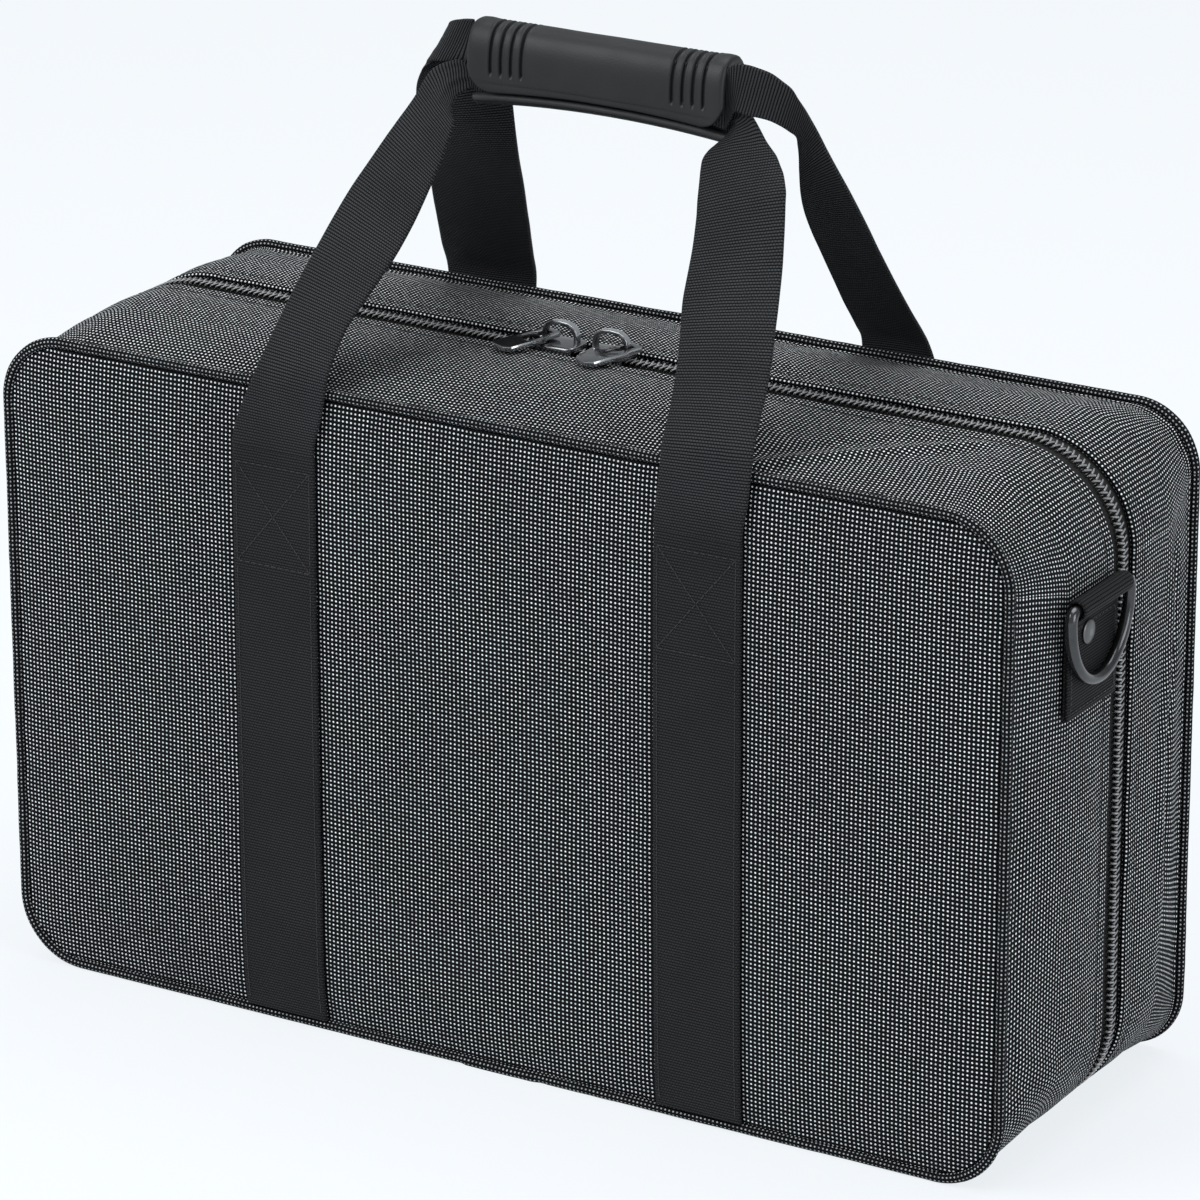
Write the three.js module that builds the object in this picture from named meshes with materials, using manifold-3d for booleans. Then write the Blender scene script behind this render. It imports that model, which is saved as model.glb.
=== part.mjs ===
// A soft cornet case: a deep base and a shallower lid of foam under woven cloth, closed by
// a zip that runs over the top and down both ends, with webbing handles and a wrapped grip.
// Millimetres, +Z up. It stands on its hinge side; X is its length, -Y is the front.
import * as THREE from 'three';
import { mergeVertices } from 'three/addons/utils/BufferGeometryUtils.js';
import Module from 'manifold-3d';

const wasm = await Module();
wasm.setup();

// Overall sizes, between the centrelines of the corded seams
const LENGTH = 450;
const HEIGHT = 266.8;
const BASE_DEPTH = 82.6;
const LID_DEPTH = 70;

// Corded seam round each face
const PIPING_R = 2.1;
const FRONT_CORNER_R = 27;
const REAR_CORNER_R = 25;

// Cover cloth and the band between each face and the zip
const CLOTH_T = 1.2;
const HEM_T = 2.6;
const HEM_W = 8;
const BULGE = 5.7;
const ZIP_CORNER_R = 43;
const ZIP_SLOT_W = 17;

// Foam walls, lining and the fitted block
const FOAM_T = 10;
const CROWN = 2.6;
const BLOCK_DROP = 4;
const LINING_FLOOR_T = 12;
const LINING_WALL_T = 9;
const LINING_CROWN = 5;

// Running clearance between pieces that touch
const GAP = 0.3;

// Cornet-shaped well, measured along and across the horn
const WELL_DEPTH = 58;
const WELL_AXIS_Z = 106;
const BELL_X = -190;
const BELL_HALF = 62;
const BELL_RIM_W = 26;
const THROAT_X = -108;
const THROAT_HALF = 24;
const VALVES_X = 14;
const VALVES_HALF = 50;
const VALVES_W = 96;
const LEADPIPE_HALF = 15;
const MOUTH_X = 194;

// Smaller wells beside the horn, their middles below the top seam
const POCKET_DEPTH = 50;
const POCKET_R = 9;
const OIL_POCKET = { x: 148, drop: 67.9, width: 98, height: 84 };
const MUTE_POCKET = { x: -148, drop: 52.9, width: 92, height: 56 };
const MOUTHPIECE_R = 15;
const MOUTHPIECE_X = 18;
const MOUTHPIECE_PITCH = 44;
const MOUTHPIECE_DROP = 56.9;

// Zip: chain, tapes and how far each end runs on under the case past its corner
const CHAIN_W = 11;
const CHAIN_T = 2.6;
const TAPE_W = 11.5;
const TAPE_T = 1;
const TOOTH_PITCH = 6.5;
const TOOTH_REACH = 1.8;
const TOOTH_SLOPE = 0.55;
const ZIP_TAIL = 9.7;

// Webbing, and how far below the top seam its stitching ends
const WEBBING_W = 38;
const WEBBING_T = 1.8;
const STRAP_X = 95.5;
const SEWN_DROP = 25.9;

// Grip wrap, its middle above the top seam
const GRIP_L = 118;
const GRIP_X = 10;
const GRIP_RISE = 120.1;
const GRIP_Y = -4.3;
const GRIP_W = 20;
const GRIP_H = 34;
const GRIP_WALL = 3.4;
const GRIP_CORNER_R = 12;
const GROOVE_W = 1.7;
const GROOVE_DEPTH = 1.1;
const GROOVE_PITCH = 4.8;
const GROOVE_INSET = 15;
const GROOVE_COUNT = 4;

// Webbing inside the wrap: folded in half, front and rear loop side by side
const RUN_T = 4;
const RUN_RISE = 0.6;
const FRONT_RUN_Y = 6.5;
const REAR_RUN_Y = -2.1;
const FRONT_FOLD_R = { right: 6.5, left: 8 };
const REAR_FOLD_R = { right: 24, left: 13 };
const FRONT_LEG_TURN = 0.15;
const REAR_LEG_TURN = 0.45;

// Sliders and pulls
const SLIDER_L = 18;
const SLIDER_WALL = 1.4;
const SLIDER_TOP_T = 1.6;
const SLIDER_XS = [-17, 6];
const CROWN_L = 16;
const CROWN_H = 8.8;
const CROWN_W = 3.2;
const CROWN_WALL = 1.5;
const PULL_L = 27;
const PULL_W = 11.5;
const PULL_T = 2;
const PULL_BAR = 2.5;
const PULL_BAR_W = 8.4;
const PULL_WINDOW_L = 13;
const PULL_NECK_L = 5;
const PULL_RISE = 2;
const PULL_HOOK = 3.4;
const PULL_YAW_DEG = 25;
const PULL_DIP_DEG = 3.2;

// D-rings, their sewn tabs and rivets, from the zip and from the top seam
const RING_WIRE_R = 2.4;
const RING_BAR_HALF = 20.6;
const RING_BEND_R = 3.4;
const RING_DROP = 32;
const TAB_W = 40;
const TAB_T = 2.4;
const TAB_FROM_ZIP = 31;
const TAB_DROP = 41;
const TAB_H = 45;
const TAB_BORE_R = 2.9;
const TAB_LOOP_T = 1.7;
const RIVET_R = 4.8;
const RIVET_H = 1.5;
const RIVET_SHANK_R = 1.8;
const RIVET_ASIDE = 5;
const RIVET_DROP = 13;

// Facets
const CORNER_STEPS = 6;
const PIPING_SIDES = 8;
const WIRE_SIDES = 8;
const ROUND_STEPS = 32;
const GRIP_STEPS = 14;
const OVERRUN = 1;

// Worked out from the sizes above
const DEPTH = BASE_DEPTH + LID_DEPTH;
const FACE_Y = DEPTH / 2;
const ZIP_Y = BASE_DEPTH - FACE_Y;
const TOP_Z = PIPING_R + HEIGHT;
const ZIP_TOP_Z = TOP_Z + BULGE;
const ZIP_END_X = LENGTH / 2 + BULGE - ZIP_CORNER_R - ZIP_TAIL;
const SEWN_TOP_Z = TOP_Z - SEWN_DROP;
const GRIP_Z = TOP_Z + GRIP_RISE;
const TAB_Y = ZIP_Y - TAB_FROM_ZIP;
const TAB_BAR_Z = TOP_Z - TAB_DROP;
const RIVET_Y = TAB_Y - RIVET_ASIDE;
const RIVET_Z = TAB_BAR_Z - RIVET_DROP;
const TAPE_DEPTH = CHAIN_T + 2 * GAP;
const RIM_DEPTH = TAPE_DEPTH + TAPE_T + GAP;
const SHELL_INSET = CLOTH_T + GAP;
const CAVITY_INSET = SHELL_INSET + FOAM_T;
const FACE_T = CLOTH_T / 2;

// How far the band stands out between the seam (0) and the zip (1), as shares of BULGE
const BAND_SHARES = [[0, 0], [0.05, -0.1], [0.2, 0.3], [0.42, 0.86], [0.62, 1.04], [0.8, 1], [1, 1]];
// Share by which the band's corners have reached the zip's own radius
const ROUND_SHARE = 0.45;
// Rise of a padded face from its seam towards its middle, as shares of half the height
const CROWN_SHARES = [[0, 0], [0.05, 0.35], [0.15, 0.7], [0.4, 0.93], [0.7, 1]];
// A handle leg from the end of its stitching to the fold at the grip, as shares:
// height, lean over the case, way inboard, width
const FRONT_RIGHT_SHARES = [
  [0, 0, 0, 1], [0.1, 0, 0, 1], [0.21, 0, 0.01, 1], [0.35, 0.16, 0.07, 0.99], [0.49, 0.34, 0.21, 0.98],
  [0.62, 0.51, 0.39, 0.96], [0.74, 0.66, 0.57, 0.91], [0.84, 0.79, 0.8, 0.84], [0.93, 0.9, 0.98, 0.44],
  [1, 0.97, 1, 0.33],
];
const FRONT_LEFT_SHARES = [
  [0, 0, 0, 1], [0.1, 0, 0.08, 1], [0.21, 0, 0.18, 1], [0.35, 0.16, 0.29, 1], [0.49, 0.34, 0.42, 1],
  [0.62, 0.51, 0.57, 1], [0.74, 0.66, 0.7, 0.96], [0.84, 0.79, 0.83, 0.86], [0.93, 0.9, 0.92, 0.62],
  [1, 0.97, 1, 0.34],
];
const REAR_RIGHT_SHARES = [
  [0, 0, 0, 1], [0.1, 0, 0.2, 1], [0.23, 0, 0.6, 1], [0.37, 0.17, 1, 1], [0.51, 0.36, 1, 1],
  [0.65, 0.54, 1, 0.98], [0.78, 0.71, 1, 0.94], [0.9, 0.86, 1, 0.86], [1, 0.95, 1, 0.76],
];
const REAR_LEFT_SHARES = [
  [0, 0, 0, 1], [0.1, 0, 0, 1], [0.23, 0, 0.03, 1], [0.37, 0.17, 0.21, 1], [0.51, 0.36, 0.43, 1],
  [0.65, 0.54, 0.64, 1], [0.78, 0.71, 0.83, 0.98], [0.9, 0.86, 0.96, 0.78], [1, 0.95, 1, 0.6],
];

const cloth = new THREE.MeshStandardMaterial({ color: 0x3a3c3f, roughness: 0.85, metalness: 0 });
const cord = new THREE.MeshStandardMaterial({ color: 0x303235, roughness: 0.85, metalness: 0 });
const webbing = new THREE.MeshStandardMaterial({ color: 0x232527, roughness: 0.7, metalness: 0 });
const foam = new THREE.MeshStandardMaterial({ color: 0x55575a, roughness: 0.95, metalness: 0 });
const plush = new THREE.MeshStandardMaterial({ color: 0x1b1c20, roughness: 1, metalness: 0 });
const nylon = new THREE.MeshStandardMaterial({ color: 0x17181a, roughness: 0.4, metalness: 0 });
const tape = new THREE.MeshStandardMaterial({ color: 0x1d1e20, roughness: 0.9, metalness: 0 });
const rubber = new THREE.MeshStandardMaterial({ color: 0x2a2c2e, roughness: 0.55, metalness: 0 });
const gunmetal = new THREE.MeshStandardMaterial({ color: 0x2b2c2e, roughness: 0.3, metalness: 0.9 });

const group = new THREE.Group();

function part(name, geometry, material, parent = group) {
  const mesh = new THREE.Mesh(geometry, material.clone());
  mesh.name = name;
  parent.add(mesh);
  return mesh;
}

// Value of a table of shares, by straight lines between its rows
function along(table, share, column = 1) {
  const next = table.findIndex((row, i) => i > 0 && row[0] >= share);
  const high = table[next < 0 ? table.length - 1 : next];
  const low = table[(next < 0 ? table.length : next + 1) - 2];
  const way = (share - low[0]) / (high[0] - low[0]);
  return THREE.MathUtils.lerp(low[column], high[column], Math.min(way, 1));
}

function volume(positions, index) {
  let sum = 0;
  const [a, b, c] = [new THREE.Vector3(), new THREE.Vector3(), new THREE.Vector3()];
  for (let i = 0; i < index.length; i += 3) {
    a.fromArray(positions, 3 * index[i]);
    b.fromArray(positions, 3 * index[i + 1]);
    c.fromArray(positions, 3 * index[i + 2]);
    sum += a.dot(b.cross(c));
  }
  return sum / 6;
}

// One closed body from its points and triangles, with the faces pointing out
function closedBody(points, index) {
  const positions = points.flatMap((p) => [p.x, p.y, p.z]);
  if (volume(positions, index) < 0) index.reverse();
  const geometry = new THREE.BufferGeometry();
  geometry.setAttribute('position', new THREE.Float32BufferAttribute(positions, 3));
  geometry.setIndex(index);
  return geometry;
}

// A skin through rings of equally many points. A joined one closes on its first ring,
// and any other is capped across its first and last ring.
function loft(rings, joined = false) {
  const count = rings[0].length;
  const index = [];
  const spans = joined ? rings.length : rings.length - 1;
  for (let i = 0; i < spans; i++) {
    const here = i * count;
    const next = ((i + 1) % rings.length) * count;
    for (let j = 0; j < count; j++) {
      const k = (j + 1) % count;
      index.push(here + j, here + k, next + k, here + j, next + k, next + j);
    }
  }
  if (!joined) {
    const last = (rings.length - 1) * count;
    for (let j = 0; j < count / 2 - 1; j++) {
      const [a, b, c, d] = [j, j + 1, count - 2 - j, count - 1 - j];
      index.push(a, c, b, a, d, c);
      index.push(last + a, last + b, last + c, last + a, last + c, last + d);
    }
  }
  return closedBody(rings.flat(), index);
}

// A rounded rectangle seen from the front, at one depth
function frameRing(y, halfLength, bottom, top, radius) {
  const points = [];
  const middles = [
    [halfLength - radius, top - radius],
    [radius - halfLength, top - radius],
    [radius - halfLength, bottom + radius],
    [halfLength - radius, bottom + radius],
  ];
  middles.forEach(([x, z], quarter) => {
    for (let i = 0; i <= CORNER_STEPS; i++) {
      const angle = (quarter + i / CORNER_STEPS) * Math.PI / 2;
      points.push(new THREE.Vector3(x + radius * Math.cos(angle), y, z + radius * Math.sin(angle)));
    }
  });
  return points;
}

// The two halves of the case. The sign points away from the zip.
const halves = {
  base: { sign: -1, depth: BASE_DEPTH, cornerR: FRONT_CORNER_R },
  lid: { sign: 1, depth: LID_DEPTH, cornerR: REAR_CORNER_R },
};

// A ring parallel to the corded seam, that far inside its centreline
function seamRing(half, y, inset) {
  return frameRing(y, LENGTH / 2 - inset, PIPING_R + inset, TOP_Z - inset, half.cornerR - inset);
}

function standout(share) {
  return BULGE * along(BAND_SHARES, share);
}

// A ring under the skin of the band, at a share of the way from the seam to the zip
function bandRing(half, share, under, y = half.sign * (FACE_Y - share * half.depth)) {
  const out = standout(share) - under;
  const turned = Math.min(1, share / ROUND_SHARE);
  const radius = THREE.MathUtils.lerp(half.cornerR, ZIP_CORNER_R, turned) - under;
  return frameRing(y, LENGTH / 2 + out, under, TOP_Z + out, radius);
}

// Share of the way to the zip at a distance from the zip
function shareFromZip(half, distance) {
  return 1 - distance / half.depth;
}

function crownAt(inset) {
  return CROWN * along(CROWN_SHARES, inset / (HEIGHT / 2));
}

// Padded cloth face inside the corded seam, flat behind and crowned outside
function facePanel(half) {
  const edge = PIPING_R + GAP;
  const rings = [seamRing(half, half.sign * (FACE_Y - FACE_T), edge)];
  for (const [share] of CROWN_SHARES) {
    const inset = share * HEIGHT / 2;
    const y = half.sign * (FACE_Y + FACE_T + crownAt(inset));
    const radius = Math.max(half.cornerR - edge - inset, half.cornerR / 3);
    const side = edge + inset;
    rings.push(frameRing(y, LENGTH / 2 - side, PIPING_R + side, TOP_Z - side, radius));
  }
  return loft(rings);
}

// Cord under cloth, all the way round the face
function piping(half) {
  const rings = [];
  for (let i = 0; i < PIPING_SIDES; i++) {
    const angle = 2 * Math.PI * (i + 0.5) / PIPING_SIDES;
    const [out, forward] = [PIPING_R * Math.cos(angle), PIPING_R * Math.sin(angle)];
    rings.push(seamRing(half, half.sign * FACE_Y + forward, -out));
  }
  return loft(rings, true);
}

// Cloth band between the seam and the zip slot, with a folded hem along the slot
function band(half) {
  const start = (PIPING_R + GAP) / half.depth;
  const hem = shareFromZip(half, ZIP_SLOT_W / 2);
  const hemStart = shareFromZip(half, ZIP_SLOT_W / 2 + HEM_W);
  const middle = BAND_SHARES.map((row) => row[0]).filter((share) => share > start && share < hemStart);
  const outside = [start, ...middle, hemStart, hem].map((share) => bandRing(half, share, 0));
  const hemInside = [hem, hemStart].map((share) => bandRing(half, share, HEM_T));
  const inside = [hemStart, ...middle.reverse(), start].map((share) => bandRing(half, share, CLOTH_T));
  return loft([...outside, ...hemInside, ...inside], true);
}

// Foam tray: a floor behind the face and a wall behind the band
function foamShell(half) {
  const outerFace = FACE_Y - FACE_T - GAP;
  const seamEdge = PIPING_R + GAP;
  const start = (2 * PIPING_R + GAP) / half.depth;
  const hem = ZIP_SLOT_W / 2 + HEM_W + GAP;
  const hemShare = shareFromZip(half, hem + GAP);
  const middle = BAND_SHARES.map((row) => row[0]).filter((share) => share > start && share < hemShare);
  const rimY = ZIP_Y + half.sign * GAP / 2;
  return loft([
    seamRing(half, half.sign * outerFace, seamEdge),
    bandRing(half, start, SHELL_INSET + GAP),
    ...middle.map((share) => bandRing(half, share, SHELL_INSET)),
    bandRing(half, hemShare, SHELL_INSET),
    bandRing(half, shareFromZip(half, hem), HEM_T + GAP),
    bandRing(half, shareFromZip(half, TAPE_W + 2 * GAP), HEM_T + GAP),
    bandRing(half, shareFromZip(half, TAPE_W + GAP), RIM_DEPTH),
    bandRing(half, 1, RIM_DEPTH, rimY),
    cavityRing(half, rimY, 0),
    cavityRing(half, half.sign * (outerFace - FOAM_T), 0),
  ]);
}

// Woven tape under the hem and the zip chain, all round
function zipTape(half) {
  const edge = ZIP_Y + half.sign * GAP / 2;
  const back = shareFromZip(half, TAPE_W);
  return loft([
    bandRing(half, 1, TAPE_DEPTH, edge),
    bandRing(half, back, TAPE_DEPTH),
    bandRing(half, back, TAPE_DEPTH + TAPE_T),
    bandRing(half, 1, TAPE_DEPTH + TAPE_T, edge),
  ], true);
}

// The line of the zip, from its left end under the case, up the end, over the top and down to
// its right end: a place in the skin and the way out of the case, by the length run
const zipHalf = LENGTH / 2 + BULGE;
const zipFlat = zipHalf - ZIP_CORNER_R;
const zipTurn = { run: Math.PI / 2 * ZIP_CORNER_R, turning: true };
const zipRise = { run: ZIP_TOP_Z - 2 * ZIP_CORNER_R };
const zipTail = { run: zipFlat - ZIP_END_X };
const zipLegs = [
  zipTail, zipTurn, zipRise, zipTurn, { run: 2 * zipFlat }, zipTurn, zipRise, zipTurn, zipTail,
];
const zipLength = zipLegs.reduce((sum, leg) => sum + leg.run, 0);

function zipLine(length) {
  let [x, z, heading, left] = [-ZIP_END_X, 0, Math.PI, length];
  for (const leg of zipLegs) {
    const run = Math.min(left, leg.run);
    if (leg.turning) {
      x += ZIP_CORNER_R * Math.sin(heading);
      z -= ZIP_CORNER_R * Math.cos(heading);
      heading -= run / ZIP_CORNER_R;
      x -= ZIP_CORNER_R * Math.sin(heading);
      z += ZIP_CORNER_R * Math.cos(heading);
    } else {
      x += run * Math.cos(heading);
      z += run * Math.sin(heading);
    }
    left -= run;
  }
  return { x, z, outX: -Math.sin(heading), outZ: Math.cos(heading) };
}

// One half of the zip's chain: a strip on its tape whose teeth reach between the other half's
function zipChain(half) {
  const count = Math.round(zipLength / TOOTH_PITCH);
  const pitch = zipLength / count;
  const lead = half === halves.base ? 0 : pitch / 2;
  const back = ZIP_Y + half.sign * CHAIN_W / 2;
  const root = ZIP_Y + half.sign * (TOOTH_REACH + GAP);
  const tip = ZIP_Y - half.sign * TOOTH_REACH;
  const toothEdge = [[0, root]];
  const backEdge = [[0, back]];
  const firsts = new Set();
  for (let i = 0; i < count; i++) {
    const start = i * pitch + lead + GAP / 2;
    const end = start + pitch / 2 - GAP;
    firsts.add(toothEdge.length);
    toothEdge.push([start, root], [start + TOOTH_SLOPE, tip], [end - TOOTH_SLOPE, tip], [end, root]);
    backEdge.push([(start + end) / 2, back]);
  }
  toothEdge.push([zipLength, root]);
  backEdge.push([zipLength, back]);

  const points = [];
  const corner = ([length, y], under) => {
    const { x, z, outX, outZ } = zipLine(length);
    points.push(new THREE.Vector3(x - under * outX, y, z - under * outZ));
  };
  for (const edge of [toothEdge, backEdge]) edge.forEach((place) => corner(place, 0));
  for (const edge of [toothEdge, backEdge]) edge.forEach((place) => corner(place, CHAIN_T));
  const lower = toothEdge.length + backEdge.length;
  const behind = toothEdge.length;
  const index = [];
  const face = (a, b, c) => index.push(a, b, c, a + lower, c + lower, b + lower);
  const wall = (a, b) => index.push(a, b, b + lower, a, b + lower, a + lower);
  let m = behind;
  for (let k = 0; k < toothEdge.length; k++) {
    if (firsts.has(k) || k === toothEdge.length - 1) {
      face(k, m + 1, m);
      wall(m, m + 1);
      m += 1;
    }
    if (k < toothEdge.length - 1) {
      face(k, k + 1, m);
      wall(k + 1, k);
    }
  }
  wall(0, behind);
  wall(m, behind - 1);
  return closedBody(points, index);
}

// Flat webbing through stations, each a middle, a direction across, a width and a thickness
function ribbon(stations) {
  return loft(stations.map(({ middle, across, normal, width, thickness }) => {
    const corners = [[-1, -1], [1, -1], [1, 1], [-1, 1]];
    return corners.map(([a, n]) => middle.clone()
      .addScaledVector(across, a * width / 2)
      .addScaledVector(normal, n * thickness / 2));
  }));
}

// Where webbing lies on a padded face, at a height
function strapY(z) {
  const inset = Math.min(z, PIPING_R + TOP_Z - z) - PIPING_R - PIPING_R - GAP;
  return FACE_Y + FACE_T + crownAt(Math.max(inset, 0)) + GAP + WEBBING_T / 2;
}

// Webbing sewn up a face, from the corded seam at the bottom to the end of its stitching
function sewnStrap(half, x) {
  const low = 2 * PIPING_R + 2 * GAP;
  const edge = PIPING_R + PIPING_R + GAP;
  const bends = CROWN_SHARES.map(([share]) => edge + share * HEIGHT / 2);
  const heights = [...bends, ...bends.map((z) => PIPING_R + TOP_Z - z).reverse()]
    .filter((z) => z > low && z < SEWN_TOP_Z);
  const stations = [low, ...heights, SEWN_TOP_Z].map((z) => ({
    middle: new THREE.Vector3(x, half.sign * strapY(z), z),
    across: new THREE.Vector3(1, 0, 0),
    normal: new THREE.Vector3(0, 1, 0),
    width: WEBBING_W,
    thickness: WEBBING_T,
  }));
  return ribbon(stations);
}

// A handle loop: a leg up from each sewn strap, folding into the grip at its top. The turn
// is how far the legs' outer faces look towards the ends of the case.
function handleLoop(half, legs, foldR, runY, turn) {
  const rootZ = SEWN_TOP_Z + GAP;
  const rootY = strapY(rootZ);
  const side = (name, hand) => {
    const table = legs[name];
    const radius = foldR[name];
    const foldZ = GRIP_Z + RUN_RISE - radius;
    const foldX = GRIP_X + hand * (GRIP_L / 2 + GAP + radius);
    const lastLean = THREE.MathUtils.lerp(rootY, runY, table[table.length - 1][1]);
    const narrow = WEBBING_W * table[table.length - 1][3];
    const leg = table.map(([rise, lean, inboard, width]) => {
      const untwisted = 1 - Math.max(0, rise - 0.8) * 4;
      return {
        middle: new THREE.Vector3(
          THREE.MathUtils.lerp(hand * STRAP_X, foldX, inboard),
          half.sign * THREE.MathUtils.lerp(rootY, runY, lean),
          THREE.MathUtils.lerp(rootZ, foldZ, rise)),
        width: WEBBING_W * width,
        thickness: THREE.MathUtils.lerp(RUN_T, WEBBING_T, Math.min(1, 2 * width - 0.7)),
        lean: Math.min(1, lean * 3) * untwisted,
        aside: hand * turn * Math.min(1, Math.max(0, rise - 0.21) * 3.5) * untwisted,
      };
    });
    const fold = [1, 2, 3].map((step) => {
      const share = step / 3;
      const angle = share * Math.PI / 2;
      return {
        middle: new THREE.Vector3(
          foldX + hand * radius * (Math.cos(angle) - 1),
          half.sign * THREE.MathUtils.lerp(lastLean, runY, share),
          foldZ + radius * Math.sin(angle)),
        width: THREE.MathUtils.lerp(narrow, WEBBING_W / 2, share),
        thickness: RUN_T,
        lean: 0,
        aside: 0,
      };
    });
    return [...leg, ...fold];
  };
  const places = [...side('right', 1), ...side('left', -1).reverse()];

  const up = new THREE.Vector3(0, 0, 1);
  const lastIndex = places.length - 1;
  return ribbon(places.map(({ middle, width, thickness, lean, aside }, i) => {
    const before = places[Math.max(i - 1, 0)].middle;
    const after = places[Math.min(i + 1, lastIndex)].middle;
    const ahead = after.clone().sub(before).normalize();
    const outward = new THREE.Vector3(aside, half.sign, 0).addScaledVector(up, lean * 0.64).normalize();
    const across = ahead.clone().cross(outward).normalize();
    if (i === 0 || i === lastIndex) across.set(i === 0 ? -half.sign : half.sign, 0, 0);
    const normal = across.clone().cross(i === 0 ? up : ahead).normalize();
    return { middle, across, normal, width, thickness };
  }));
}

// A closed solid from a manifold, and a manifold from a closed geometry
function solid(geometry) {
  const bare = geometry.clone();
  bare.deleteAttribute('normal');
  bare.deleteAttribute('uv');
  const merged = mergeVertices(bare, GAP / 1000);
  const vertProperties = Float32Array.from(merged.attributes.position.array);
  return new wasm.Manifold(new wasm.Mesh({
    numProp: 3, vertProperties, triVerts: Uint32Array.from(merged.index.array),
  }));
}

function geometryOf(manifold) {
  const { vertProperties, triVerts, numProp } = manifold.getMesh();
  const positions = [];
  for (let i = 0; i < vertProperties.length; i += numProp) {
    positions.push(vertProperties[i], vertProperties[i + 1], vertProperties[i + 2]);
  }
  const geometry = new THREE.BufferGeometry();
  geometry.setAttribute('position', new THREE.Float32BufferAttribute(positions, 3));
  geometry.setIndex(Array.from(triVerts));
  return geometry;
}

// An outline drawn across and up, given its length along X, starting at x
function alongX(shape, x, length) {
  const geometry = new THREE.ExtrudeGeometry(shape, { depth: length, bevelEnabled: false });
  const turned = new THREE.Matrix4().makeBasis(
    new THREE.Vector3(0, 1, 0), new THREE.Vector3(0, 0, 1), new THREE.Vector3(1, 0, 0));
  return geometry.applyMatrix4(turned).translate(x, 0, 0);
}

// An outline drawn in X and Z, given its length along Y, starting at y
function alongY(shape, y, length) {
  const geometry = new THREE.ExtrudeGeometry(shape, { depth: length, bevelEnabled: false });
  return geometry.rotateX(Math.PI / 2).translate(0, y + length, 0);
}

function roundedOutline(halfWidth, halfHeight, radius, x = 0, z = 0, steps = 4) {
  const shape = new THREE.Shape();
  const middles = [[1, 1], [-1, 1], [-1, -1], [1, -1]];
  const points = middles.flatMap(([sx, sz], quarter) => {
    const turn = [];
    for (let i = 0; i <= steps; i++) {
      const angle = (quarter + i / steps) * Math.PI / 2;
      turn.push(new THREE.Vector2(
        x + sx * (halfWidth - radius) + radius * Math.cos(angle),
        z + sz * (halfHeight - radius) + radius * Math.sin(angle)));
    }
    return turn;
  });
  shape.setFromPoints(points);
  return shape;
}

function circleOutline(radius, x, z, steps = ROUND_STEPS / 2) {
  const points = [];
  for (let i = 0; i < steps; i++) {
    const angle = 2 * Math.PI * i / steps;
    points.push(new THREE.Vector2(x + radius * Math.cos(angle), z + radius * Math.sin(angle)));
  }
  return new THREE.Shape(points);
}

// The horn's outline, bell to the left: one side as a curve, mirrored in the well's axis
function wellOutline() {
  const side = new THREE.SplineCurve([
    new THREE.Vector2(BELL_X, BELL_HALF * 0.94),
    new THREE.Vector2(BELL_X + BELL_RIM_W * 0.4, BELL_HALF),
    new THREE.Vector2(BELL_X + BELL_RIM_W, BELL_HALF * 0.9),
    new THREE.Vector2((BELL_X + BELL_RIM_W + THROAT_X) / 2, THROAT_HALF + (BELL_HALF - THROAT_HALF) * 0.3),
    new THREE.Vector2(THROAT_X, THROAT_HALF),
    new THREE.Vector2(VALVES_X - VALVES_W * 0.62, THROAT_HALF * 1.2),
    new THREE.Vector2(VALVES_X - VALVES_W * 0.4, VALVES_HALF * 0.94),
    new THREE.Vector2(VALVES_X, VALVES_HALF),
    new THREE.Vector2(VALVES_X + VALVES_W * 0.4, VALVES_HALF * 0.92),
    new THREE.Vector2(VALVES_X + VALVES_W * 0.66, LEADPIPE_HALF * 1.3),
    new THREE.Vector2(VALVES_X + VALVES_W, LEADPIPE_HALF),
    new THREE.Vector2(MOUTH_X, LEADPIPE_HALF),
  ]).getPoints(ROUND_STEPS);
  const upper = side.map((p) => new THREE.Vector2(p.x, WELL_AXIS_Z + p.y));
  const lower = side.map((p) => new THREE.Vector2(p.x, WELL_AXIS_Z - p.y));
  return new THREE.Shape([...lower, ...upper.reverse()]);
}

function cavityRing(half, y, clearance) {
  const inset = CAVITY_INSET + clearance;
  return frameRing(
    y, LENGTH / 2 - inset, PIPING_R + inset, TOP_Z - inset, half.cornerR - CAVITY_INSET - clearance);
}

// Plush-covered block in the base, cut away for the horn, its mouthpieces and small things
function fittedBlock() {
  const half = halves.base;
  const floorY = -(FACE_Y - FACE_T - GAP - FOAM_T - GAP);
  const topY = ZIP_Y - BLOCK_DROP;
  let block = solid(loft([cavityRing(half, floorY, GAP), cavityRing(half, topY, GAP)]));
  const wells = [[wellOutline(), WELL_DEPTH]];
  for (const { x, drop, width, height } of [OIL_POCKET, MUTE_POCKET]) {
    wells.push([roundedOutline(width / 2, height / 2, POCKET_R, x, TOP_Z - drop), POCKET_DEPTH]);
  }
  for (const side of [-1, 1]) {
    const x = MOUTHPIECE_X + side * MOUTHPIECE_PITCH / 2;
    wells.push([circleOutline(MOUTHPIECE_R, x, TOP_Z - MOUTHPIECE_DROP), POCKET_DEPTH]);
  }
  for (const [outline, depth] of wells) {
    block = block.subtract(solid(alongY(outline, topY - depth, depth + OVERRUN)));
  }
  return geometryOf(block);
}

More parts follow.
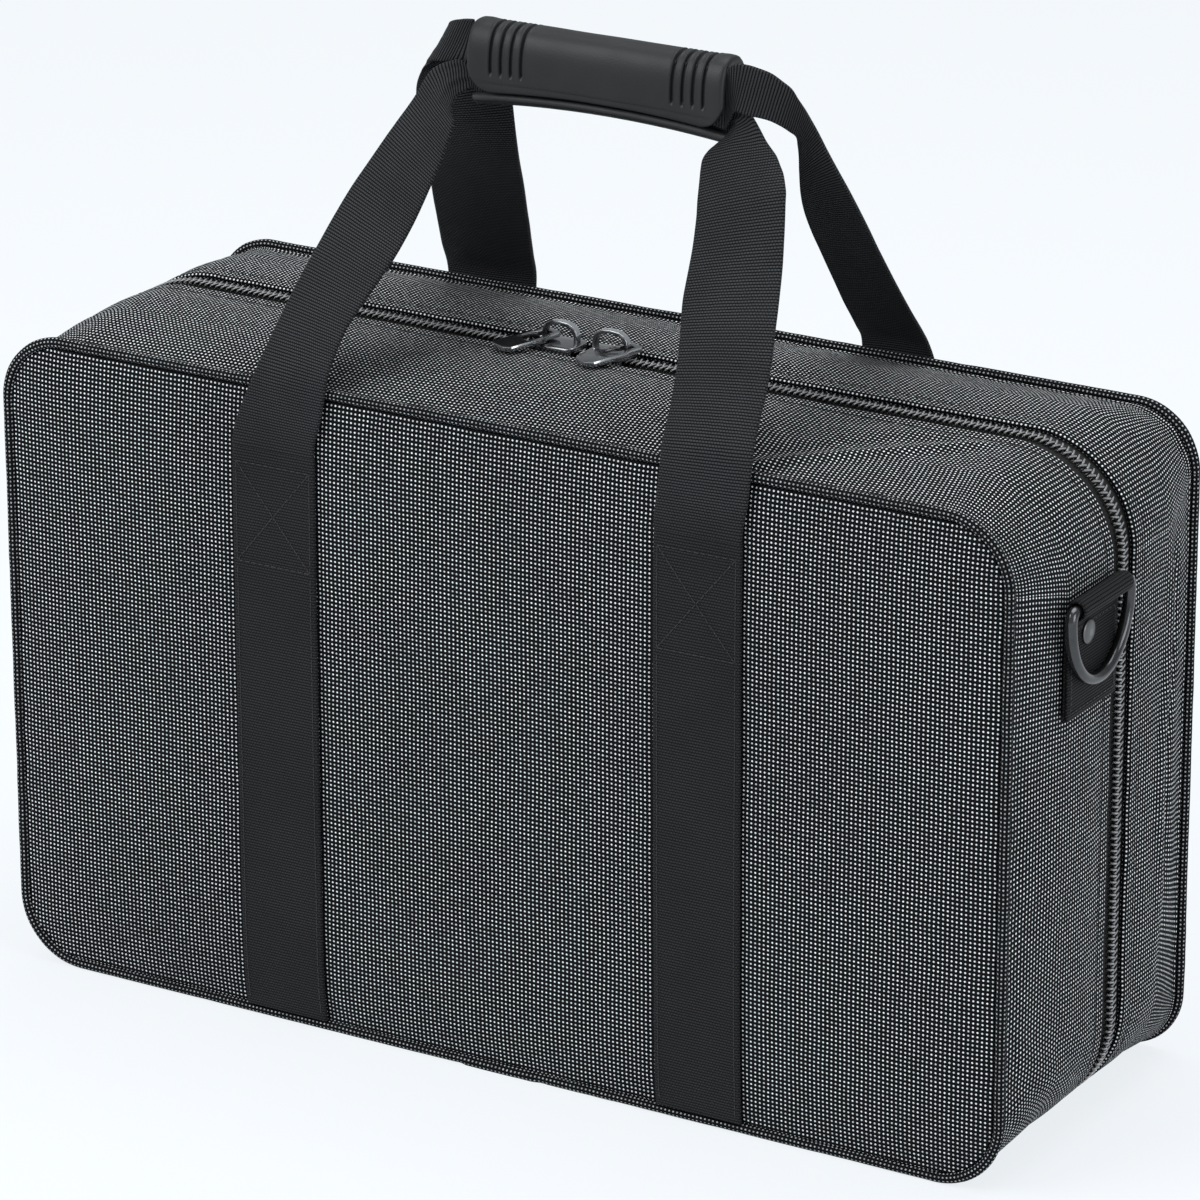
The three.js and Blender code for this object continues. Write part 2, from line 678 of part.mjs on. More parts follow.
// Padded lining of the lid: a floor that swells towards its middle and a soft wall round it
function lining() {
  const half = halves.lid;
  const floorY = FACE_Y - FACE_T - GAP - FOAM_T - GAP;
  const inner = GAP + LINING_WALL_T;
  const rimY = ZIP_Y + BLOCK_DROP;
  const rings = [cavityRing(half, floorY, GAP), cavityRing(half, rimY + LINING_WALL_T / 3, GAP)];
  rings.push(cavityRing(half, rimY, GAP + LINING_WALL_T / 3));
  rings.push(cavityRing(half, rimY, GAP + LINING_WALL_T * 2 / 3));
  rings.push(cavityRing(half, rimY + LINING_WALL_T / 3, inner));
  rings.push(cavityRing(half, floorY - LINING_FLOOR_T, inner));
  for (const [share, rise] of [[0.15, 0.6], [0.35, 0.9], [0.6, 1]]) {
    const inset = CAVITY_INSET + inner + share * HEIGHT / 2;
    const y = floorY - LINING_FLOOR_T - rise * LINING_CROWN;
    const radius = LINING_WALL_T;
    rings.push(frameRing(y, LENGTH / 2 - inset, PIPING_R + inset, TOP_Z - inset, radius));
  }
  return loft(rings);
}

// Doubled cloth strip between the two hems under the case, where the lid folds
function hingeStrip(half) {
  const width = ZIP_SLOT_W / 2 - GAP - GAP / 2;
  const box = new THREE.BoxGeometry(2 * (ZIP_END_X - GAP), width, HEM_T);
  return box.translate(0, ZIP_Y + half.sign * (GAP / 2 + width / 2), HEM_T / 2);
}

// Section of the grip by the angle round it, from the rear (0) over the top to the front (180)
function gripPoint(degrees, inset) {
  const angle = THREE.MathUtils.degToRad(degrees);
  const squareness = 0.78;
  const [c, s] = [Math.cos(angle), Math.sin(angle)];
  return new THREE.Vector2(
    GRIP_Y + (GRIP_W / 2 - inset) * Math.sign(c) * Math.abs(c) ** squareness,
    GRIP_Z + (GRIP_H / 2 - inset) * Math.sign(s) * Math.abs(s) ** squareness);
}

function gripOutline(from, to, outer, inner) {
  const points = [];
  for (let i = 0; i <= GRIP_STEPS; i++) {
    points.push(gripPoint(THREE.MathUtils.lerp(from, to, i / GRIP_STEPS), outer));
  }
  for (let i = GRIP_STEPS; i >= 0; i--) {
    points.push(gripPoint(THREE.MathUtils.lerp(from, to, i / GRIP_STEPS), inner));
  }
  return new THREE.Shape(points);
}

// Angles round the grip: where the back ends below and above, and where the flap ends
const GRIP_LIP_DEG = -122;
const GRIP_SEAM_DEG = 60;
const FLAP_END_DEG = 216;
const GROOVE_TOP_DEG = 66;
const GROOVE_END_DEG = 188;

const gripStart = GRIP_X - GRIP_L / 2;

function gripBack() {
  return alongX(gripOutline(GRIP_LIP_DEG, GRIP_SEAM_DEG, 0, GRIP_WALL), gripStart, GRIP_L);
}

function gripFlap() {
  const seam = GRIP_SEAM_DEG + THREE.MathUtils.radToDeg(GAP / (GRIP_H / 2));
  let flap = solid(alongX(gripOutline(seam, FLAP_END_DEG, 0, GRIP_WALL), gripStart, GRIP_L));
  const low = gripPoint(FLAP_END_DEG, 0).y;
  const high = GRIP_Z + GRIP_H / 2;
  const rounding = roundedOutline(
    GRIP_L / 2, high - low, GRIP_CORNER_R, GRIP_X, high);
  flap = flap.intersect(solid(alongY(rounding, GRIP_Y - GRIP_W, 2 * GRIP_W)));
  for (const hand of [-1, 1]) {
    for (let i = 0; i < GROOVE_COUNT; i++) {
      const x = GRIP_X + hand * (GRIP_L / 2 - GROOVE_INSET - i * GROOVE_PITCH) - GROOVE_W / 2;
      const groove = gripOutline(GROOVE_TOP_DEG, GROOVE_END_DEG, -OVERRUN, GROOVE_DEPTH);
      flap = flap.subtract(solid(alongX(groove, x, GROOVE_W)));
    }
  }
  return geometryOf(flap);
}

// Zip slider: a saddle over the chain with a crown that holds the pull, drawn at the zip's line
function slider() {
  const inner = CHAIN_W / 2 + GAP;
  const outer = inner + SLIDER_WALL;
  const top = GAP + SLIDER_TOP_T;
  const foot = -CHAIN_T;
  const saddle = new THREE.Shape([
    new THREE.Vector2(-outer, foot), new THREE.Vector2(-inner, foot), new THREE.Vector2(-inner, GAP),
    new THREE.Vector2(inner, GAP), new THREE.Vector2(inner, foot), new THREE.Vector2(outer, foot),
    new THREE.Vector2(outer, top - SLIDER_WALL / 2), new THREE.Vector2(outer - SLIDER_WALL / 2, top),
    new THREE.Vector2(SLIDER_WALL / 2 - outer, top), new THREE.Vector2(-outer, top - SLIDER_WALL / 2),
  ]);
  const body = solid(alongX(saddle, -SLIDER_L / 2, SLIDER_L));
  const plan = new THREE.ExtrudeGeometry(
    roundedOutline(SLIDER_L / 2, outer, outer / 2), { depth: 2 * CHAIN_W, bevelEnabled: false });
  plan.translate(0, 0, -CHAIN_W);
  const arch = (halfSpan, height) => {
    const points = [new THREE.Vector2(halfSpan, top - OVERRUN / 2)];
    for (let i = 0; i <= ROUND_STEPS / 4; i++) {
      const angle = Math.PI * i / (ROUND_STEPS / 4);
      const spread = Math.sign(Math.cos(angle)) * Math.abs(Math.cos(angle)) ** 0.7;
      points.push(new THREE.Vector2(halfSpan * spread, top + height * (0.35 + 0.65 * Math.sin(angle))));
    }
    points.push(new THREE.Vector2(-halfSpan, top - OVERRUN / 2));
    return new THREE.Shape(points);
  };
  const crown = solid(alongY(arch(CROWN_L / 2, CROWN_H), -CROWN_W / 2, CROWN_W));
  const eye = solid(alongY(
    arch(CROWN_L / 2 - CROWN_WALL, CROWN_H - CROWN_WALL), -CROWN_W, 2 * CROWN_W));
  const ground = solid(alongX(saddle, -SLIDER_L / 2, SLIDER_L));
  return geometryOf(body.intersect(solid(plan)).add(crown.subtract(eye.subtract(ground))));
}

// Pull: a flat plate with a window, its narrow end hooked round a leg of the crown. Drawn from
// the middle of its bar along -Y.
function pull() {
  const barEnd = PULL_BAR / 2;
  const neck = PULL_L * 0.3;
  const outline = new THREE.Shape();
  outline.moveTo(-PULL_BAR_W / 2, barEnd * 0.4);
  outline.lineTo(-PULL_BAR_W / 2 + barEnd * 0.6, barEnd);
  outline.lineTo(PULL_BAR_W / 2 - barEnd * 0.6, barEnd);
  outline.lineTo(PULL_BAR_W / 2, barEnd * 0.4);
  outline.lineTo(PULL_BAR_W / 2, -PULL_NECK_L);
  outline.lineTo(PULL_W / 2, -neck);
  outline.lineTo(PULL_W / 2, barEnd + PULL_BAR - PULL_L);
  outline.lineTo(PULL_W / 2 - PULL_BAR, barEnd - PULL_L);
  outline.lineTo(PULL_BAR - PULL_W / 2, barEnd - PULL_L);
  outline.lineTo(-PULL_W / 2, barEnd + PULL_BAR - PULL_L);
  outline.lineTo(-PULL_W / 2, -neck);
  outline.lineTo(-PULL_BAR_W / 2, -PULL_NECK_L);
  const rail = PULL_BAR * 0.72;
  outline.holes.push(new THREE.Path([
    new THREE.Vector2(-PULL_BAR_W / 2 + rail, -barEnd),
    new THREE.Vector2(-PULL_BAR_W / 2 + rail, -PULL_NECK_L),
    new THREE.Vector2(-PULL_W / 2 + rail, -neck),
    new THREE.Vector2(-PULL_W / 2 + rail, -barEnd - PULL_WINDOW_L),
    new THREE.Vector2(PULL_W / 2 - rail, -barEnd - PULL_WINDOW_L),
    new THREE.Vector2(PULL_W / 2 - rail, -neck),
    new THREE.Vector2(PULL_BAR_W / 2 - rail, -PULL_NECK_L),
    new THREE.Vector2(PULL_BAR_W / 2 - rail, -barEnd),
  ]));
  const plate = new THREE.ExtrudeGeometry(outline, { depth: PULL_T, bevelEnabled: false });
  return plate.translate(0, 0, -PULL_T / 2);
}

// Wire ring with a straight bar at its top and a round bow below, in the plane of Y and Z
function dRing() {
  const middle = [];
  const bow = RING_BAR_HALF + RING_BEND_R;
  const bend = 3;
  for (let i = 0; i <= bend; i++) {
    const angle = Math.PI / 2 * (1 - i / bend);
    middle.push([RING_BAR_HALF + RING_BEND_R * Math.cos(angle), RING_BEND_R * (Math.sin(angle) - 1)]);
  }
  for (let i = 1; i < ROUND_STEPS / 2; i++) {
    const angle = Math.PI * i / (ROUND_STEPS / 2);
    middle.push([bow * Math.cos(angle), -RING_BEND_R - (RING_DROP - RING_BEND_R) * Math.sin(angle)]);
  }
  for (let i = 0; i <= bend; i++) {
    const angle = Math.PI / 2 * i / bend;
    middle.push([-RING_BAR_HALF - RING_BEND_R * Math.cos(angle), RING_BEND_R * (Math.sin(angle) - 1)]);
  }
  const count = middle.length;
  return loft(middle.map(([y, z], i) => {
    const [y0, z0] = middle[(i + count - 1) % count];
    const [y1, z1] = middle[(i + 1) % count];
    const out = new THREE.Vector3(0, z1 - z0, y0 - y1).normalize();
    const ring = [];
    for (let k = 0; k < WIRE_SIDES; k++) {
      const angle = 2 * Math.PI * (k + 0.5) / WIRE_SIDES;
      ring.push(new THREE.Vector3(RING_WIRE_R * Math.sin(angle), y, z)
        .addScaledVector(out, RING_WIRE_R * Math.cos(angle)));
    }
    return ring;
  }), true);
}

const tabFaceX = LENGTH / 2 + BULGE * Math.max(...BAND_SHARES.map((row) => row[1])) + GAP;
const ringX = tabFaceX + TAB_T + RING_WIRE_R + GAP;

// Webbing tab sewn to the band at the right end, folded over the ring's bar
function ringTab() {
  const plate = new THREE.Shape([
    new THREE.Vector2(tabFaceX, TAB_BAR_Z - TAB_H),
    new THREE.Vector2(tabFaceX + TAB_T, TAB_BAR_Z - TAB_H),
    new THREE.Vector2(tabFaceX + TAB_T, TAB_BAR_Z), new THREE.Vector2(tabFaceX, TAB_BAR_Z),
  ]);
  const outer = TAB_BORE_R + TAB_LOOP_T;
  const loop = solid(alongY(circleOutline(outer, ringX, TAB_BAR_Z), TAB_Y - TAB_W / 2, TAB_W));
  const bore = solid(alongY(circleOutline(TAB_BORE_R, ringX, TAB_BAR_Z), TAB_Y - TAB_W, 2 * TAB_W));
  const hole = new THREE.CylinderGeometry(
    RIVET_SHANK_R + GAP, RIVET_SHANK_R + GAP, 4 * TAB_T, ROUND_STEPS / 2).rotateZ(Math.PI / 2);
  hole.translate(tabFaceX, RIVET_Y, RIVET_Z);
  const sewn = solid(alongY(plate, TAB_Y - TAB_W / 2, TAB_W)).add(loop);
  return geometryOf(sewn.subtract(bore).subtract(solid(hole)));
}

function rivet() {
  const seat = TAB_T + GAP;
  const profile = [
    new THREE.Vector2(0, GAP), new THREE.Vector2(RIVET_SHANK_R, GAP),
    new THREE.Vector2(RIVET_SHANK_R, seat),
    new THREE.Vector2(RIVET_R, seat), new THREE.Vector2(RIVET_R, seat + RIVET_H * 0.3),
    new THREE.Vector2(RIVET_R * 0.7, seat + RIVET_H * 0.85), new THREE.Vector2(0, seat + RIVET_H),
  ];
  const turned = new THREE.LatheGeometry(profile, ROUND_STEPS / 2).rotateZ(-Math.PI / 2);
  return turned.translate(tabFaceX, RIVET_Y, RIVET_Z);
}

// The same piece at the other end of the case
function mirrored(geometry) {
  const copy = geometry.index ? geometry.clone() : mergeVertices(geometry.clone());
  copy.deleteAttribute('normal');
  copy.deleteAttribute('uv');
  copy.scale(-1, 1, 1);
  copy.setIndex(Array.from(copy.index.array).reverse());
  return copy;
}

for (const [name, half] of [['front', halves.base], ['rear', halves.lid]]) {
  part(`${name}_panel`, facePanel(half), cloth);
  part(`${name}_gusset`, band(half), cloth);
  part(`${name}_piping`, piping(half), cord);
  part(`${name}_zip_tape`, zipTape(half), tape);
  part(`${name}_zip_coil`, zipChain(half), nylon);
  part(`${name}_hinge_strip`, hingeStrip(half), tape);
  part(`${name}_strap_left`, sewnStrap(half, -STRAP_X), webbing);
  part(`${name}_strap_right`, sewnStrap(half, STRAP_X), webbing);
}
part('base_foam_shell', foamShell(halves.base), foam);
part('lid_foam_shell', foamShell(halves.lid), foam);
part('base_insert', fittedBlock(), plush);
part('lid_lining', lining(), plush);

const frontLegs = { right: FRONT_RIGHT_SHARES, left: FRONT_LEFT_SHARES };
const rearLegs = { right: REAR_RIGHT_SHARES, left: REAR_LEFT_SHARES };
part('front_handle_webbing',
  handleLoop(halves.base, frontLegs, FRONT_FOLD_R, FRONT_RUN_Y, FRONT_LEG_TURN), webbing);
part('rear_handle_webbing',
  handleLoop(halves.lid, rearLegs, REAR_FOLD_R, REAR_RUN_Y, REAR_LEG_TURN), webbing);
part('grip_back', gripBack(), rubber);
part('grip_flap', gripFlap(), rubber);

['left', 'right'].forEach((side, i) => {
  const station = new THREE.Group();
  station.position.set(SLIDER_XS[i], ZIP_Y, ZIP_TOP_Z);
  group.add(station);
  part(`slider_${side}`, slider(), gunmetal, station);
  const tab = part(`pull_${side}`, pull(), gunmetal, station);
  const yaw = THREE.MathUtils.degToRad(PULL_YAW_DEG);
  const leg = Math.sign(i - 0.5) * (CROWN_L - CROWN_WALL) / 2;
  tab.position.set(
    leg + PULL_HOOK * Math.sin(yaw), PULL_HOOK * Math.cos(yaw), GAP + SLIDER_TOP_T + PULL_RISE);
  tab.rotation.set(THREE.MathUtils.degToRad(PULL_DIP_DEG), 0, -yaw, 'ZYX');
});

const ends = { right: (geometry) => geometry, left: mirrored };
for (const [side, place] of Object.entries(ends)) {
  part(`d_ring_tab_${side}`, place(ringTab()), webbing);
  part(`d_ring_rivet_${side}`, place(rivet()), gunmetal);
  part(`d_ring_${side}`, place(dRing().translate(ringX, TAB_Y, TAB_BAR_Z)), gunmetal);
}

export default group;
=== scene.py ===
"""Looks of the cornet case: cloth, webbing, zip, grip, light and camera over its solids.

Shapes are worked out in millimetres, +Z up, the front towards -Y, and scaled once to metres.
"""
import math

import bmesh
import bpy
import numpy as np
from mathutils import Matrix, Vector


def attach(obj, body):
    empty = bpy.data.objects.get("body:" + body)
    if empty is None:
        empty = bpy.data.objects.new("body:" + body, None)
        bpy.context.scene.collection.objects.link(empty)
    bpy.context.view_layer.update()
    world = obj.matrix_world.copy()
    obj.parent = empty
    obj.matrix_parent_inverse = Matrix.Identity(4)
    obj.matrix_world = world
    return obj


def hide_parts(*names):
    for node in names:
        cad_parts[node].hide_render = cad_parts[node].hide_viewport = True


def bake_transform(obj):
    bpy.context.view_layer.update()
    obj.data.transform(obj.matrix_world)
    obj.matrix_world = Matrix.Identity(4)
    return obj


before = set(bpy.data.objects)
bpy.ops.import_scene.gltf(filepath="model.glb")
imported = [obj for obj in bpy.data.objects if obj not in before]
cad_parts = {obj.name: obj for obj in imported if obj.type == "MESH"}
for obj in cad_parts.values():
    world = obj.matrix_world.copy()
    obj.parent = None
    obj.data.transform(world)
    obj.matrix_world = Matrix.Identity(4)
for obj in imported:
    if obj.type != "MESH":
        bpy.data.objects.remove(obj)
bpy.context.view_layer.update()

MM = 0.001

# Driving sizes of the case
LENGTH = 450.0
HEIGHT = 266.8
BASE_DEPTH = 82.6
LID_DEPTH = 70.0
PIPING_R = 2.1
FRONT_CORNER_R = 27.0
REAR_CORNER_R = 25.0
CLOTH_T = 1.2
FACE_T = CLOTH_T / 2
HEM_T = 2.6
HEM_W = 8.0
HEM_ROLL = 1.3
HEM_SEAM = 1.4
BULGE = 5.7
ZIP_CORNER_R = 43.0
ZIP_SLOT_W = 17.0
CROWN = 2.6
GAP = 0.3
FACE_Y = (BASE_DEPTH + LID_DEPTH) / 2
ZIP_Y = BASE_DEPTH - FACE_Y
TOP_Z = PIPING_R + HEIGHT
ZIP_TOP_Z = TOP_Z + BULGE
ZIP_TAIL = 9.7
ZIP_END_X = LENGTH / 2 + BULGE - ZIP_CORNER_R - ZIP_TAIL

WEBBING_W = 38.0
WEBBING_T = 1.8
STRAP_X = 95.5
SEWN_TOP_Z = TOP_Z - 25.9

GRIP_L = 114.0
GRIP_X = 10.0
GRIP_Y = -4.3
GRIP_Z = TOP_Z + 120.1
GRIP_W = 20.0
GRIP_H = 34.0
GRIP_WALL = 3.4
GRIP_CORNER_R = 12.0
GRIP_ROLL = 1.55

TAB_W = 40.0
TAB_Y = ZIP_Y - 31.0
TAB_BAR_Z = TOP_Z - 41.0
TAB_H = 45.0
TAB_T = 2.4
RING_R = 2.4
RING_BAR_HALF = 20.6
RING_BEND_R = 3.4
RING_DROP = 32.0
RIVET_Y = TAB_Y - 5
RIVET_Z = TAB_BAR_Z - 13

BAND_SHARES = ((0, 0), (0.05, -0.1), (0.2, 0.3), (0.42, 0.86), (0.62, 1.04), (0.8, 1), (1, 1))
ROUND_SHARE = 0.45
CROWN_SHARES = ((0, 0), (0.05, 0.35), (0.15, 0.7), (0.4, 0.93), (0.7, 1), (1, 1))

# The two edges of each handle leg, from the top of its stitching into the grip: x, y and z of
# the edge that is the lower one inside the grip, then of the other
FRONT_RIGHT_EDGES = (
    (76.5, -80.6, 243.3, 114.5, -80.6, 243.3),
    (77.0, -80.7, 250.1, 115.4, -80.7, 250.7),
    (78.0, -80.8, 256.8, 117.0, -80.8, 258.0),
    (78.6, -80.8, 263.6, 117.8, -80.8, 265.4),
    (79.0, -80.5, 270.4, 118.1, -80.0, 272.7),
    (78.8, -79.0, 277.0, 117.7, -77.9, 279.8),
    (78.0, -72.9, 286.3, 116.2, -70.8, 289.5),
    (76.5, -66.5, 295.1, 114.7, -63.3, 298.9),
    (74.5, -59.8, 303.7, 112.7, -56.2, 308.5),
    (71.9, -53.4, 312.4, 110.3, -49.5, 318.3),
    (69.1, -47.1, 321.1, 107.9, -42.8, 328.1),
    (67.7, -41.1, 330.3, 105.5, -36.1, 337.9),
    (66.3, -35.0, 339.4, 103.2, -30.9, 348.6),
    (64.2, -28.9, 348.4, 100.8, -26.1, 359.4),
    (63.2, -26.7, 351.5, 100.0, -24.4, 363.3),
    (62.2, -24.5, 354.7, 98.1, -21.9, 366.3),
    (61.4, -22.3, 357.9, 95.9, -19.3, 368.9),
    (60.6, -20.1, 361.1, 93.1, -17.0, 371.4),
    (59.8, -17.9, 364.3, 90.3, -14.7, 373.8),
    (59.4, -15.7, 367.6, 87.0, -12.8, 375.8),
    (60.8, -14.0, 370.5, 83.7, -10.8, 377.8),
    (63.5, -12.7, 373.1, 80.7, -9.0, 380.4),
    (66.2, -11.2, 375.6, 77.7, -7.4, 383.1),
    (68.5, -9.7, 378.4, 74.5, -6.3, 385.8),
    (69.0, -8.2, 378.9, 70.3, -6.0, 386.0),
    (66.0, -7.0, 377.4, 66.0, -6.0, 386.3),
)
FRONT_LEFT_EDGES = (
    (-76.5, -80.6, 243.3, -114.5, -80.6, 243.3),
    (-75.7, -80.7, 250.0, -113.0, -80.7, 250.8),
    (-73.7, -80.8, 256.5, -110.3, -80.8, 258.0),
    (-72.2, -80.8, 263.1, -107.2, -80.8, 265.1),
    (-71.2, -80.6, 269.8, -104.3, -80.3, 272.1),
    (-71.0, -79.0, 276.3, -102.2, -77.8, 279.0),
    (-70.7, -73.1, 285.6, -100.5, -70.8, 289.2),
    (-69.3, -66.6, 294.4, -99.0, -63.3, 299.1),
    (-65.9, -60.6, 302.7, -96.8, -56.1, 309.0),
    (-62.2, -54.6, 311.2, -94.0, -49.1, 319.0),
    (-58.8, -48.6, 319.7, -91.1, -42.2, 329.0),
    (-56.4, -42.4, 328.5, -87.5, -35.4, 338.9),
    (-54.3, -36.4, 337.5, -83.1, -28.8, 348.6),
    (-52.4, -30.8, 346.8, -78.8, -22.1, 358.2),
    (-51.8, -28.8, 350.1, -77.2, -19.7, 361.6),
    (-51.1, -26.8, 353.5, -75.5, -17.4, 365.1),
    (-50.5, -25.0, 356.9, -73.8, -15.1, 368.5),
    (-50.0, -23.2, 360.4, -72.1, -12.9, 372.1),
    (-49.5, -21.4, 363.9, -70.4, -11.2, 375.8),
    (-49.5, -19.5, 367.3, -68.7, -9.8, 379.7),
    (-51.7, -17.4, 369.9, -66.3, -8.4, 383.2),
    (-53.0, -14.8, 372.6, -62.8, -7.4, 385.7),
    (-53.2, -11.7, 374.9, -58.7, -6.9, 387.4),
    (-51.2, -9.1, 376.8, -54.4, -6.6, 388.6),
    (-48.3, -7.2, 378.5, -50.3, -6.5, 387.2),
    (-46.0, -6.5, 375.8, -46.0, -6.5, 386.5),
)
REAR_RIGHT_EDGES = (
    (76.5, 81.2, 243.3, 114.5, 81.2, 243.3),
    (76.5, 81.2, 251.2, 112.4, 81.2, 251.6),
    (76.6, 81.2, 259.1, 110.4, 81.2, 259.8),
    (76.7, 81.2, 266.9, 108.8, 81.2, 268.2),
    (77.0, 79.7, 274.6, 107.7, 78.3, 276.1),
    (77.3, 74.8, 280.7, 107.5, 73.1, 282.8),
    (78.0, 66.3, 290.2, 107.4, 63.9, 293.1),
    (78.6, 58.0, 300.0, 107.3, 55.0, 303.7),
    (79.2, 49.9, 309.8, 107.2, 46.2, 314.4),
    (79.5, 41.9, 319.9, 107.0, 37.6, 325.2),
    (80.1, 33.9, 329.8, 107.0, 29.0, 336.0),
    (81.2, 26.0, 339.8, 106.2, 20.9, 347.1),
    (83.5, 18.2, 349.7, 103.8, 14.0, 358.8),
    (86.2, 11.7, 360.4, 99.9, 8.7, 371.0),
    (87.2, 9.6, 364.3, 98.6, 6.8, 375.4),
    (88.1, 7.6, 368.4, 97.3, 4.8, 379.7),
    (88.7, 5.6, 372.5, 95.9, 2.7, 384.0),
    (89.1, 3.4, 376.3, 94.5, 0.7, 388.3),
    (87.7, -0.0, 379.1, 92.9, -1.5, 392.5),
    (86.1, -3.4, 381.7, 91.3, -3.6, 396.7),
    (83.1, -6.1, 383.9, 88.0, -5.5, 399.9),
    (79.1, -7.8, 385.0, 84.3, -7.1, 402.7),
    (74.7, -9.0, 385.5, 79.8, -8.2, 404.2),
    (70.2, -9.2, 386.4, 75.0, -8.9, 405.1),
    (68.0, -9.2, 382.7, 70.1, -9.2, 404.9),
    (66.0, -9.2, 378.6, 66.0, -9.2, 402.2),
)
REAR_LEFT_EDGES = (
    (-114.5, 81.2, 243.3, -76.5, 81.2, 243.3),
    (-115.8, 81.2, 258.0, -75.7, 81.2, 259.0),
    (-116.4, 79.8, 272.5, -73.7, 79.1, 274.2),
    (-113.7, 71.4, 284.1, -69.3, 69.9, 286.0),
    (-109.5, 62.2, 294.9, -64.5, 60.2, 297.4),
    (-105.3, 53.1, 305.8, -59.8, 50.6, 308.9),
    (-101.2, 44.2, 316.9, -55.2, 41.2, 320.7),
    (-97.0, 35.5, 328.0, -50.7, 31.8, 332.5),
    (-93.0, 27.1, 339.6, -46.4, 22.4, 344.3),
    (-89.0, 18.4, 350.9, -42.9, 14.1, 357.2),
    (-84.9, 9.5, 361.9, -41.8, 9.5, 372.0),
    (-82.7, 5.5, 368.9, -43.5, 8.8, 382.0),
    (-80.4, 3.2, 374.2, -47.0, 7.9, 391.0),
    (-76.7, 0.8, 379.6, -52.5, 6.6, 398.5),
    (-73.1, -1.2, 382.8, -62.8, 3.6, 398.1),
    (-70.3, -3.0, 384.7, -62.4, 0.8, 399.4),
    (-68.3, -4.4, 385.4, -59.9, -2.2, 401.8),
    (-65.6, -5.0, 385.9, -56.2, -4.2, 403.7),
    (-61.9, -5.0, 386.4, -52.6, -4.9, 404.7),
    (-57.4, -4.9, 387.0, -48.9, -4.9, 405.0),
    (-49.0, -4.8, 386.9, -49.0, -4.8, 404.2),
    (-46.0, -4.8, 386.9, -46.0, -4.8, 404.0),
)

# Pitch of the woven dots across and along the cloth, and of the ribs of the webbing
DOT_PITCH = (1.87, 1.81)
RIB_PITCH = 1.18


class Half:
    """One half of the case: which way it faces, how deep it is, how round its corners are."""

    def __init__(self, name, sign, depth, corner_r, body):
        self.name, self.sign, self.depth = name, sign, depth
        self.corner_r, self.body = corner_r, body
        # From the corded seam to the edge of the hem beside the zip
        self.stop = depth - ZIP_SLOT_W / 2


BASE = Half("front", -1, BASE_DEPTH, FRONT_CORNER_R, "base")
LID = Half("rear", 1, LID_DEPTH, REAR_CORNER_R, "lid")
HALVES = (BASE, LID)


# Small tools of number work
def smooth_table(table, share):
    """Values of a table of shares, by a smooth curve through its rows."""
    x, y = np.array(table, float).T
    step = np.diff(x)
    slope = np.diff(y) / step
    tangent = np.empty_like(y)
    tangent[0], tangent[-1] = slope[0], slope[-1]
    tangent[1:-1] = (slope[:-1] * step[1:] + slope[1:] * step[:-1]) / (step[1:] + step[:-1])
    share = np.clip(np.asarray(share, float), x[0], x[-1])
    i = np.clip(np.searchsorted(x, share, side="right") - 1, 0, len(step) - 1)
    t = (share - x[i]) / step[i]
    h00 = 2 * t ** 3 - 3 * t ** 2 + 1
    h10 = t ** 3 - 2 * t ** 2 + t
    h01 = 3 * t ** 2 - 2 * t ** 3
    h11 = t ** 3 - t ** 2
    return h00 * y[i] + h10 * step[i] * tangent[i] + h01 * y[i + 1] + h11 * step[i] * tangent[i + 1]


def hashed(ix, iy, iz, seed):
    """Numbers from -1 to 1 that look random and are the same on every run."""
    h = (ix.astype(np.int64) * 374761393 + iy.astype(np.int64) * 668265263
         + iz.astype(np.int64) * 1442695041 + seed * 97241) & 0xFFFFFFFF
    h = ((h ^ (h >> 13)) * 1274126177) & 0xFFFFFFFF
    h = ((h ^ (h >> 16)) * 2246822519) & 0xFFFFFFFF
    return ((h >> 8) & 0xFFFF) / 32767.5 - 1


def noise(x, y, z, scale, seed=0):
    """Smooth noise with features of about the given scale."""
    px, py, pz = np.broadcast_arrays(
        np.asarray(x, float) / scale, np.asarray(y, float) / scale, np.asarray(z, float) / scale)
    ix, iy, iz = np.floor(px), np.floor(py), np.floor(pz)
    fx, fy, fz = px - ix, py - iy, pz - iz
    fx, fy, fz = (f * f * (3 - 2 * f) for f in (fx, fy, fz))
    total = 0
    for dx in (0, 1):
        for dy in (0, 1):
            for dz in (0, 1):
                weight = ((fx if dx else 1 - fx) * (fy if dy else 1 - fy) * (fz if dz else 1 - fz))
                total = total + weight * hashed(ix + dx, iy + dy, iz + dz, seed)
    return total


def bump(value, middle, width):
    return np.exp(-((value - middle) / width) ** 2)


def smoothstep(value, low, high):
    t = np.clip((value - low) / (high - low), 0, 1)
    return t * t * (3 - 2 * t)


def lerp(a, b, t):
    return a + (b - a) * t


def unit(vectors):
    """The same directions, each with a length of one."""
    return vectors / np.linalg.norm(vectors, axis=1)[:, None]


def lengths_along(points):
    """Length run along a line at each of its points."""
    return np.concatenate([[0], np.cumsum(np.linalg.norm(np.diff(points, axis=0), axis=1))])


def round_angles(count):
    return 2 * math.pi * np.arange(count) / count


def at_depth(ring, y):
    """Points of a ring in x and z, set at a depth of y."""
    return np.stack([ring[:, 0], np.broadcast_to(y, len(ring)), ring[:, 1]], -1)


def cloth_grid(across, along):
    """Cloth places of a grid from its values across and along."""
    return np.stack(np.broadcast_arrays(across, along), -1)


# Meshes from grids of points
def new_object(name, data):
    thing = bpy.data.objects.new(name, data)
    bpy.context.scene.collection.objects.link(thing)
    return thing


